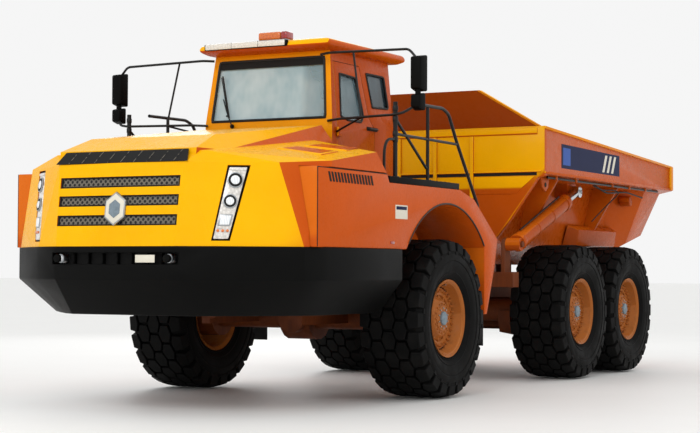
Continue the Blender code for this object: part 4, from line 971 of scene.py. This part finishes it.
class TRUCK_OT_rails(bpy.types.Operator):
    """Tube rails on the decks and mirrors on their arms"""
    bl_idname = "truck.rails"
    bl_label = "Rails and mirrors"

    def execute(self, context):
        for side_name, side in SIDES:
            x, foot, post = side * RAIL_X, DECK_TOP, RAIL_POST_Y
            rails = [
                tube("powder_coat", [(x, post, foot), (x, post, 3.66)], 0.028),
                tube("powder_coat", [(x, -0.36, foot), (x, -0.36, 3.69)], 0.022),
                tube("powder_coat",
                     [(x, -0.80, 3.68), (x, 0.08, 3.69), (x, 0.25, 3.63), (x, 0.49, 3.30), (x, 1.177, 2.466),
                      (x, 1.100, 2.351)], 0.022, 0.06),
                tube("powder_coat", [(x, post, 3.27), (x, 0.49, 3.26)], 0.018),
                tube("powder_coat", [(x, -1.24, 3.45), (x, -0.40, 2.90)], 0.018),
                tube("powder_coat", [(x, post, 3.20), (x, -1.45, 3.20), (x, -1.54, 3.08), (x, -1.54, foot)],
                     0.018, 0.10),
            ]
            feet = [bar("powder_coat", (x, y, foot - 0.002), (x, y, foot + 0.014), 0.05, 20, 0.003)
                    for y in (post, -0.36, -1.54)]
            clamps = [bar("powder_coat", (x, post, z - 0.03), (x, post, z + 0.03), 0.034, 20, 0.004)
                      for z in (3.20, 3.27, 3.45, 3.58)]
            finished(f"deck_rail_{side_name}", [*rails, *feet, *clamps], "tractor",
                     [f"handrail_{side_name}"])

            arms = [
                tube("powder_coat",
                     on_side(side, (0.80, -1.01, 4.33), (0.95, -1.05, 4.34), (2.10, -1.13, 4.31),
                             (2.20, -1.13, 4.20)), 0.016, 0.05),
                tube("powder_coat",
                     [(side * 0.90, -1.004, 3.49), (side * 1.10, -1.08, 3.50), (x, -1.2943, 3.50),
                      (side * 2.10, -1.28, 3.52), (side * 2.22, -1.15, 3.62)], 0.016, 0.05),
                tube("powder_coat", on_side(side, (1.30, -1.074, 4.33), (1.45, -1.143, 3.50)), 0.013),
                tube("powder_coat", on_side(side, (0.97, -0.90, 3.36), (1.45, -1.14, 3.50)), 0.013),
            ]
            shell = self.case(side, (-1.215, -1.045), (3.785, 4.235), 0.088)
            small = self.case(side, (-1.22, -1.075), (3.552, 3.772), 0.078)
            neck = bar("moulded_black", (side * MIRROR_X, -1.14, 3.74), (side * MIRROR_X, -1.14, 3.82), 0.035,
                       20)
            # The mirror's glass is a grey-blue painted sheet: painted reflection.
            pane = beside("cap_paint", side, MIRROR_X, 0.07, (-1.052, 3.81), (-1.041, 4.21), 0.01)
            finished(f"mirror_case_{side_name}", [*arms, shell, small, neck, pane], "tractor",
                     [f"mirror_{side_name}"])
        return {"FINISHED"}

    def case(self, side, depth, height, half):
        """A mirror case, swept narrower towards its front."""
        x, low, high = side * MIRROR_X, *height

        def frame_at(y, wide, low, high):
            """The case's outline at y, reaching wide each way."""
            return [(x - wide, y, low), (x + wide, y, low), (x + wide, y, high), (x - wide, y, high)]

        near = frame_at(depth[1], half, low, high)
        far = frame_at(depth[0], half * 0.8, low + 0.03, high - 0.03)
        return slab("moulded_black", near, far, 0.022, 3)


# Cab


class TRUCK_OT_cab(bpy.types.Operator):
    """Cab shell, door, roof, glazing, seals, wiper, handle, roof lamps and beacon"""
    bl_idname = "truck.cab"
    bl_label = "Cab"

    def execute(self, context):
        skin = lined(from_cad("cab_shell", "cab_enamel", 0.014, 2, 30), CAB_MIDDLE, "moulded_black")
        finished("cab_skin", [skin], "tractor", ["cab_shell"], smooth=28)
        leaf = lined(from_cad("cab_door", "cab_enamel", 0.006, 2, 30), CAB_MIDDLE, "moulded_black")
        finished("door_leaf", [leaf], "cab_door", ["cab_door"], smooth=28)
        cap = from_cad("cab_roof", "gold_enamel", 0.03, 3, 20)
        finished("roof_cap", [cap], "tractor", ["cab_roof"], smooth=30)
        panes = {"windscreen": "clear_glass", "rear_window": "clear_glass", "door_glass": "side_glass",
                 "side_glass_right": "side_glass", "quarter_glass_left": "dark_glass",
                 "quarter_glass_right": "dark_glass"}
        for node, finish in panes.items():
            pane = frame["nodes"][node]
            pane.data.materials.clear()
            pane.data.materials.append(FINISHES[finish])

        def skin_x(z):
            """How far out the cab's side is at a height."""
            return 0.95 - 0.09 * max(0.0, z - 3.5) / 0.9

        def skin_y(z):
            """Where the cab's front is at a height."""
            return -0.98 + 0.10 * max(0.0, z - 3.5) / 0.9

        def seal(outline, place, radius=0.014):
            """A rubber seal round an outline, its ends overlapping."""
            points = [place(a, b) for a, b in outline]
            points += points[:2]
            return tube("hose_rubber", points, radius, 0.04, 2)

        screen = [(-0.85, 3.54), (0.85, 3.54), (0.78, 4.32), (-0.78, 4.32)]
        back = [(-0.65, 3.63), (0.65, 3.63), (0.61, 4.21), (-0.61, 4.21)]
        door = [(-0.75, 3.57), (-0.695, 4.12), (-0.255, 4.10), (-0.14, 3.62), (-0.205, 3.53), (-0.55, 3.53)]
        quarter = [(0.13, 3.75), (0.03, 4.19), (0.53, 4.19), (0.59, 3.77)]
        seals = [
            seal(screen, lambda a, b: (a, skin_y(b) - 0.002, b), 0.017),
            seal(back, lambda a, b: (a, 0.702, b)),
            seal(quarter, lambda a, b: (skin_x(b) + 0.002, a, b)),
            seal(quarter, lambda a, b: (-skin_x(b) - 0.002, a, b)),
            seal(door, lambda a, b: (-skin_x(b) - 0.002, a, b)),
        ]
        corners = ((-0.775, 4.22), (0.775, 4.22), (0.772, 4.31), (-0.772, 4.31))
        outline = [(x, skin_y(z) - 0.004, z) for x, z in corners]
        band = slab("black_and_painted_shade", outline, behind(outline, 0.008))
        wiper = [
            bar("moulded_black", (-0.52, -1.0, 3.47), (-0.52, -1.02, 3.47), 0.028, 20, 0.004),
            tube("powder_coat", [(-0.52, -1.015, 3.47), (-0.61, -1.000, 3.66), (-0.676, -0.975, 3.829)],
                 0.008, 0.05),
            tube("powder_coat", [(-0.60, -0.985, 3.60), (-0.72, -0.955, 4.12)], 0.006),
            block("hose_rubber", (-0.632, -0.985, 3.60), (-0.612, -0.965, 3.62), 0.002),
        ]
        outline = [(-0.590, -0.992, 3.58), (-0.574, -0.992, 3.58), (-0.714, -0.932, 4.14),
                   (-0.730, -0.932, 4.14)]
        blade = slab("hose_rubber", outline, behind(outline, 0.016), 0.003)
        finished("cab_seals", [*seals, band, *wiper, blade], "tractor")

        leaf_seal = seal(door, lambda a, b: (skin_x(b) + 0.002, a, b))
        handle = [
            block("black_and_painted_shade", (0.948, -0.06, 3.435), (0.955, 0.236, 3.485), 0.002),
            tube("powder_coat",
                 [(0.952, -0.05, 3.46), (0.985, -0.03, 3.46), (0.985, 0.20, 3.46), (0.952, 0.226, 3.46)],
                 0.010, 0.02),
        ]
        finished("door_fittings", [leaf_seal, *handle], "cab_door")

        lamps = [block("moulded_black", (-0.86, -1.160, 4.452), (0.38, -1.10, 4.534), 0.012)]
        for i in range(3):
            x = -0.64 + i * 0.40
            lamps.append(block("white_acrylic", (x - 0.197, -1.174, 4.458), (x + 0.197, -1.150, 4.530),
                               0.008))
        finished("roof_lamps", lamps, "tractor")
        beacon = [
            block("zinc_steel", (-0.16, -0.985, 4.548), (0.28, -0.795, 4.566), 0.004),
            block("amber_acrylic", (-0.155, -0.98, 4.562), (0.18, -0.80, 4.668), 0.026, 4),
            block("red_acrylic", (0.184, -0.98, 4.562), (0.278, -0.80, 4.668), 0.022, 4),
        ]
        finished("roof_beacon", beacon, "tractor", ["beacon_bar"])
        roof = [block("gold_enamel", (-0.55, -0.60, 4.546), (0.55, 0.55, 4.572), 0.012)]
        for x in (-0.62, 0.62):
            loop = [(x, -0.15, 4.545), (x, -0.13, 4.60), (x, -0.05, 4.60), (x, -0.03, 4.545)]
            roof.append(tube("zinc_steel", loop, 0.010, 0.03))
        finished("roof_fittings", roof, "tractor")
        return {"FINISHED"}


class TRUCK_OT_cab_inside(bpy.types.Operator):
    """Driver's seat with channelled cushions, the dash and the steering wheel"""
    bl_idname = "truck.cab_inside"
    bl_label = "Cab inside"

    def execute(self, context):
        cushion = self.pad((-0.27, -0.13, 3.03), (0.27, 0.40, 3.15))
        back = self.pad((-0.25, -0.06, SEAT_HEIGHT), (0.25, 0.06, 3.74))
        back.data.transform(Matrix.Translation((0, 0, -SEAT_HEIGHT)))
        leaning = Matrix.Rotation(math.radians(-7), 4, "X")
        back.data.transform(Matrix.Translation((0, 0.38, SEAT_HEIGHT)) @ leaning)
        seat = finished("seat_pads", [cushion, back], "tractor", ["seat"], smooth=60)
        base = [
            block("moulded_black", (-0.19, -0.01, 2.742), (0.19, 0.37, 2.80), 0.01),
            block("moulded_black", (-0.14, 0.04, 2.79), (0.14, 0.32, 2.98), 0.02),
            block("moulded_black", (-0.25, -0.08, 2.98), (0.25, 0.38, 3.03), 0.015),
        ]
        finished("seat_base", base, "tractor")
        dash = [
            block("moulded_black", (-0.68, -0.90, 2.745), (0.68, -0.70, 3.20), 0.03, 3),
            slab("moulded_black",
                 [(-0.69, -0.91, 3.18), (0.69, -0.91, 3.18), (0.69, -0.66, 3.18), (-0.69, -0.66, 3.18)],
                 [(-0.66, -0.90, 3.34), (0.66, -0.90, 3.34), (0.66, -0.76, 3.33), (-0.66, -0.76, 3.33)], 0.02,
                 3),
            bar("moulded_black", (0, -0.72, 3.18), (0, -0.42, 3.47), 0.035, 20, 0.004),
            bar("moulded_black", (0, -0.435, 3.455), (0, -0.395, 3.495), 0.045, 20, 0.006),
        ]
        pick()
        lean = math.radians(45)
        bpy.ops.mesh.primitive_torus_add(location=WHEEL_CENTRE, rotation=(lean, 0, 0), major_radius=0.185,
                                         minor_radius=0.014, major_segments=36, minor_segments=10)
        dash.append(settled("moulded_black"))
        for a in map(math.radians, (90, 210, 330)):
            out, along = 0.18 * math.cos(a), 0.18 * math.sin(a)
            spoke = Vector((out, along * math.cos(lean), along * math.sin(lean)))
            dash.append(bar("moulded_black", WHEEL_CENTRE, WHEEL_CENTRE + spoke, 0.010, 10))
        finished("dash_and_wheel", dash, "tractor", ["dash"])
        return {"FINISHED"}

    def pad(self, low, high):
        """A crowned cushion: a subdivided block with sewn channels across its face."""
        pad = block("seat_weave", low, high, 0.0)
        pick(pad)
        bpy.ops.object.mode_set(mode="EDIT")
        bpy.ops.mesh.select_all(action="SELECT")
        bpy.ops.mesh.subdivide(number_cuts=5)
        bpy.ops.object.mode_set(mode="OBJECT")
        centre = (Vector(low) + Vector(high)) / 2
        size = (Vector(high) - Vector(low)) / 2
        for vertex in pad.data.vertices:
            away = vertex.co - centre
            edge = max(abs(away.x) / size.x, abs(away.z if size.z > size.y else away.y) / max(size.y, size.z))
            thin = 2 if size.z < size.y else 1
            groove = 0.88 if abs(abs(away.x) - size.x * 0.33) < 0.03 else 1.0
            away[thin] *= (1.0 - 0.35 * edge ** 4) * groove
            vertex.co = centre + away
        smooth = pad.modifiers.new("crown", "SUBSURF")
        smooth.levels = smooth.render_levels = 2
        bpy.ops.object.modifier_apply(modifier=smooth.name)
        return pad


# Load body


class TRUCK_OT_bed(bpy.types.Operator):
    """Load body and headboard with rail flanges, a side band, ribs, brackets, a pipe line and hoses"""
    bl_idname = "truck.bed"
    bl_label = "Load body"

    def execute(self, context):
        shell = from_cad("bed_body", "bed_enamel", 0.010, 2, 25)
        finished("bed_shell", [shell], "dump_body", ["bed_body"], smooth=24)
        guard = from_cad("spill_guard", "shadow_enamel", 0.012, 2, 30)
        finished("headboard", [guard], "dump_body", ["spill_guard"])
        finished("rail_band", self.rails(), "dump_body")
        finished("bed_ribs", self.steelwork(), "dump_body")
        finished("bed_front_ribs", self.front(), "dump_body")
        return {"FINISHED"}

    def rails(self):
        """The flange and the blank side band along each top rail."""
        def rail_top(y):
            """The rail's height along the body."""
            return 3.72 - 0.27 * (y - 3.34) / 5.86

        trim = []
        for _, side in SIDES:
            corners = ((2.045, 0.003), (2.070, -0.004), (2.070, -0.040), (2.045, -0.044))
            near = [(side * x, BED_FRONT_Y, rail_top(BED_FRONT_Y) + drop) for x, drop in corners]
            far = [(x, BED_REAR_Y, z - rail_top(BED_FRONT_Y) + rail_top(BED_REAR_Y)) for x, _, z in near]
            # The flange and the rear post are painted bright: a painted highlight along the rail's lit top
            # edge.
            trim.append(slab("highlight_enamel", near, far, 0.004))
            trim.append(beside("highlight_enamel", side, 2.062, 0.017, (9.07, 3.03), (BED_REAR_Y, 3.44), 0.008))
            trim.append(beside("bed_enamel", side, 2.056, 0.011, (BED_FRONT_Y, 3.025), (9.19, 3.060), 0.005))
            films = (("navy_vinyl", 4.00, 6.51, 0.001, 0.0), ("pale_vinyl", 4.06, 4.36, 0.002, 0.05))
            for finish, y0, y1, lift, inset in films:
                low, high = BAND_LOW + inset, BAND_HIGH - inset
                slope = 0.03 * (y1 - 4.0) / 2.5
                near = on_side(side, (2.049, y0, low), (2.049, y1, low), (2.049, y1, high - slope),
                               (2.049, y0, high))
                trim.append(slab(finish, near, [(side * (2.051 + lift), y, z) for _, y, z in near]))
            for i in range(3):
                y = 5.72 + 0.20 * i
                near = on_side(side, (2.050, y, 3.17), (2.050, y + 0.09, 3.17), (2.050, y + 0.23, 3.44),
                               (2.050, y + 0.14, 3.44))
                trim.append(slab("cream_vinyl", near, [(side * 2.0540, b, c) for _, b, c in near]))
        return trim

    def steelwork(self):
        """The pipe line with its clips, ribs, boxes, ears and hoses under each rail."""
        steel = []
        for _, side in SIDES:
            steel.append(tube("powder_coat", on_side(side, (1.985, 3.60, 2.985), (1.985, 8.60, 2.985)),
                              0.018))
            for y in (3.9, 4.7, 6.3, 7.1, 7.9):
                steel.append(beside("wall_enamel", side, 1.985, 0.03, (y, 2.962), (y + 0.05, 3.022), 0.006))
            steel.append(bar("wall_enamel", (side * 1.52, 8.06, 2.81), (side * 1.70, 8.06, 2.81), 0.09, 24,
                             0.012))
            for y0, y1 in ((4.35, 4.41), (7.00, 7.06)):
                near = on_side(side, (1.14, y0, 1.98), (1.14, y1, 1.98), (1.37, y1, 2.96), (1.37, y0, 2.96))
                far = on_side(side, (1.27, y0, 2.02), (1.27, y1, 2.02), (1.86, y1, 3.015), (1.86, y0, 3.015))
                steel.append(slab("wall_enamel", near, far, 0.008))
            near = on_side(side, (1.18, 6.16, 1.96), (1.18, 8.01, 1.96), (1.36, 8.01, 2.36),
                           (1.30, 6.16, 2.36))
            far = on_side(side, (1.40, 6.30, 2.02), (1.46, 7.90, 2.04), (1.50, 7.90, 2.28),
                          (1.44, 6.30, 2.28))
            steel.append(slab("wall_enamel", near, far, 0.012))
            steel.append(beside("wall_enamel", side, 1.96, 0.03, (BED_FRONT_Y, 3.06), (3.365, 3.66), 0.006))
            ear = [(3.50, 3.02), (3.86, 3.02), (3.80, 2.84), (3.70, 2.78), (3.58, 2.84)]
            steel.append(plate("wall_enamel", ear, "x", side * 1.90 - 0.02, side * 1.90 + 0.02, 0.006))
            steel.append(bar("black_and_painted_shade", (side * 1.875, 3.69, 2.88), (side * 1.925, 3.69, 2.88), 0.035, 20))
            cable = on_side(side, (1.90, 5.72, 2.96), (1.93, 6.05, 2.90), (1.92, 6.60, 2.93),
                            (1.88, 7.00, 2.90), (1.72, 6.75, 2.66), (1.60, 6.45, 2.42))
            steel.append(tube("hose_rubber", cable, 0.010, 0.12))
            line = on_side(side, (1.90, 5.80, 2.97), (1.94, 6.20, 2.86), (1.92, 7.20, 2.92),
                           (1.90, 8.06, 2.86))
            steel.append(tube("hose_rubber", line, 0.012, 0.15))
        return steel

    def front(self):
        """The ribs and bands on the body's front wall, and the headboard's edges."""
        front = [block("bed_enamel", (-1.94, 3.325, 3.60), (1.94, BED_FRONT_Y, 3.70), 0.008)]
        front += [block("bed_enamel", (x - 0.03, 3.315, 2.2), (x + 0.03, BED_FRONT_Y, 3.60), 0.008)
                  for x in (-0.9, -0.3, 0.3, 0.9)]
        # A black strip across the front wall: painted shadow under the rail.
        front.append(block("black_and_painted_shade", (-1.93, 3.334, 3.005), (1.93, 3.343, 3.05), 0.0))
        front.append(block("bed_enamel", (-2.00, 3.322, 3.05), (2.00, BED_FRONT_Y, 3.075), 0.005))
        band = [(-1.90, 2.995), (1.90, 2.995), (1.60, 2.74), (-1.60, 2.74)]
        front.append(plate("bed_enamel", band, "y", 3.330, BED_FRONT_Y, 0.004))
        edges = [(1.985, 3.336, 3.722), (1.275, 2.790, 4.218), (1.215, 2.790, 4.218), (1.925, 3.336, 3.722)]
        # The headboard's sloped edges are painted bright: a painted highlight where they face up.
        for flip in (1, -1):
            near = [(flip * x, y - 0.003, z - 0.003) for x, y, z in edges]
            front.append(slab("highlight_enamel", near, [(x, y + 0.066, z + 0.006) for x, y, z in near], 0.006))
        return front


# Studio


class TRUCK_OT_studio(bpy.types.Operator):
    """Pale floor, soft lights and the camera"""
    bl_idname = "truck.studio"
    bl_label = "Studio"

    def execute(self, context):
        settings = context.scene.truck_studio
        pick()
        bpy.ops.mesh.primitive_plane_add(size=400.0, location=(0, 0, -0.002))
        floor = settled("studio_floor")
        floor.name = "floor"
        world = bpy.data.worlds.new("studio_air")
        context.scene.world = world
        world.use_nodes = True
        world.node_tree.nodes["Background"].inputs["Color"].default_value = srgb("#FFFFFF")
        world.node_tree.nodes["Background"].inputs["Strength"].default_value = settings.air
        for name, place, target, size, power in (
                ("key", (2.0, -17.0, 11.0), (0.0, -5.0, 1.8), 7.0, settings.key_power),
                ("flank", (17.0, -4.0, 8.0), (0.0, 0.5, 1.8), 8.0, settings.flank_power),
                ("rim", (-10.0, 12.0, 9.0), (0.0, 0.0, 2.5), 7.0, settings.rim_power)):
            pick()
            bpy.ops.object.light_add(type="AREA", location=place)
            lamp = context.object
            lamp.name = name
            lamp.data.size = size
            lamp.data.energy = power
            lamp.rotation_euler = (Vector(target) - Vector(place)).to_track_quat("-Z", "Y").to_euler()
        pick()
        bpy.ops.object.camera_add(location=CAMERA_PLACE + FRONT_AXLE)
        camera = context.object
        turned = Matrix.Rotation(settings.azimuth, 4, "Z")
        tilted = Matrix.Rotation(math.pi / 2 + settings.pitch, 4, "X")
        camera.rotation_euler = (turned @ tilted @ Matrix.Rotation(settings.roll, 4, "Z")).to_euler()
        camera.data.lens = settings.lens
        camera.data.sensor_width = 36.0
        camera.data.sensor_fit = "HORIZONTAL"
        camera.data.clip_end = 500.0
        context.scene.camera = camera
        context.scene.view_settings.view_transform = "Standard"
        return {"FINISHED"}


# Settings and panel


class TruckSizes(bpy.types.PropertyGroup):
    """Sizes that a user may change"""
    tread_depth: bpy.props.FloatProperty(name="Tread depth",
                                         description="Height of the tyre's blocks above its carcass",
                                         default=0.060, unit="LENGTH")
    tread_pitches: bpy.props.IntProperty(name="Tread pitches", description="Rows of blocks round one tyre",
                                         default=24)


class TruckColours(bpy.types.PropertyGroup):
    """The enamel's lit colour and its painted-shade colour"""
    # Painted light: the enamel's colour where the body faces forward and up.
    front_lit_gold: bpy.props.FloatVectorProperty(name="Front gold",
                                              description="Enamel where the body faces forward",
                                              subtype="COLOR", default=srgb("#F9B404")[:3])
    # Painted shade: the same enamel's colour on the truck's sides.
    flank_shade_orange: bpy.props.FloatVectorProperty(name="Flank orange",
                                                description="Enamel on the truck's sides", subtype="COLOR",
                                                default=srgb("#C8540F")[:3])


class TruckStudio(bpy.types.PropertyGroup):
    """Lights and camera"""
    air: bpy.props.FloatProperty(name="Air light", description="Brightness of the white surroundings",
                                 default=0.92)
    key_power: bpy.props.FloatProperty(name="Key light", description="Power of the light before the nose",
                                       subtype="POWER", default=620.0)
    flank_power: bpy.props.FloatProperty(name="Flank light",
                                         description="Power of the light beside the truck", subtype="POWER",
                                         default=160.0)
    rim_power: bpy.props.FloatProperty(name="Rim light", description="Power of the light behind the truck",
                                       subtype="POWER", default=350.0)
    azimuth: bpy.props.FloatProperty(name="Azimuth", description="Camera's turn from straight ahead",
                                     subtype="ANGLE", default=math.radians(28.701))
    pitch: bpy.props.FloatProperty(name="Pitch", description="Camera's tilt above level", subtype="ANGLE",
                                   default=math.radians(1.8043))
    roll: bpy.props.FloatProperty(name="Roll", description="Camera's lean", subtype="ANGLE",
                                  default=math.radians(0.2550))
    lens: bpy.props.FloatProperty(name="Lens", description="Camera's focal length in millimetres",
                                  unit="CAMERA", default=87.39)


OPERATORS = (TRUCK_OT_tyres, TRUCK_OT_rims, TRUCK_OT_chassis, TRUCK_OT_cylinders, TRUCK_OT_hood,
             TRUCK_OT_bumper,
             TRUCK_OT_fenders, TRUCK_OT_rails, TRUCK_OT_cab, TRUCK_OT_cab_inside, TRUCK_OT_bed,
             TRUCK_OT_studio)


class TRUCK_PT_panel(bpy.types.Panel):
    """Lists the truck's settings and its pieces"""
    bl_idname = "TRUCK_PT_panel"
    bl_label = "Dump Truck"
    bl_space_type = "VIEW_3D"
    bl_region_type = "UI"
    bl_category = "Dump Truck"

    def draw(self, context):
        for group in (context.scene.truck_sizes, context.scene.truck_colours, context.scene.truck_studio):
            for name in group.__annotations__:
                self.layout.prop(group, name)
        for kind in OPERATORS:
            self.layout.operator(kind.bl_idname)


CLASSES = (TruckSizes, TruckColours, TruckStudio, *OPERATORS, TRUCK_PT_panel)


def register():
    """Make the add-on's classes and settings known to Blender."""
    for kind in CLASSES:
        bpy.utils.register_class(kind)
    bpy.types.Scene.truck_sizes = bpy.props.PointerProperty(type=TruckSizes)
    bpy.types.Scene.truck_colours = bpy.props.PointerProperty(type=TruckColours)
    bpy.types.Scene.truck_studio = bpy.props.PointerProperty(type=TruckStudio)


def unregister():
    """Take them out again."""
    for name in ("truck_sizes", "truck_colours", "truck_studio"):
        delattr(bpy.types.Scene, name)
    for kind in reversed(CLASSES):
        bpy.utils.unregister_class(kind)


def main():
    """Make every piece in order."""
    register()
    make_finishes()
    for kind in OPERATORS:
        group, name = kind.bl_idname.split(".")
        getattr(getattr(bpy.ops, group), name)()


if __name__ == "__main__":
    main()
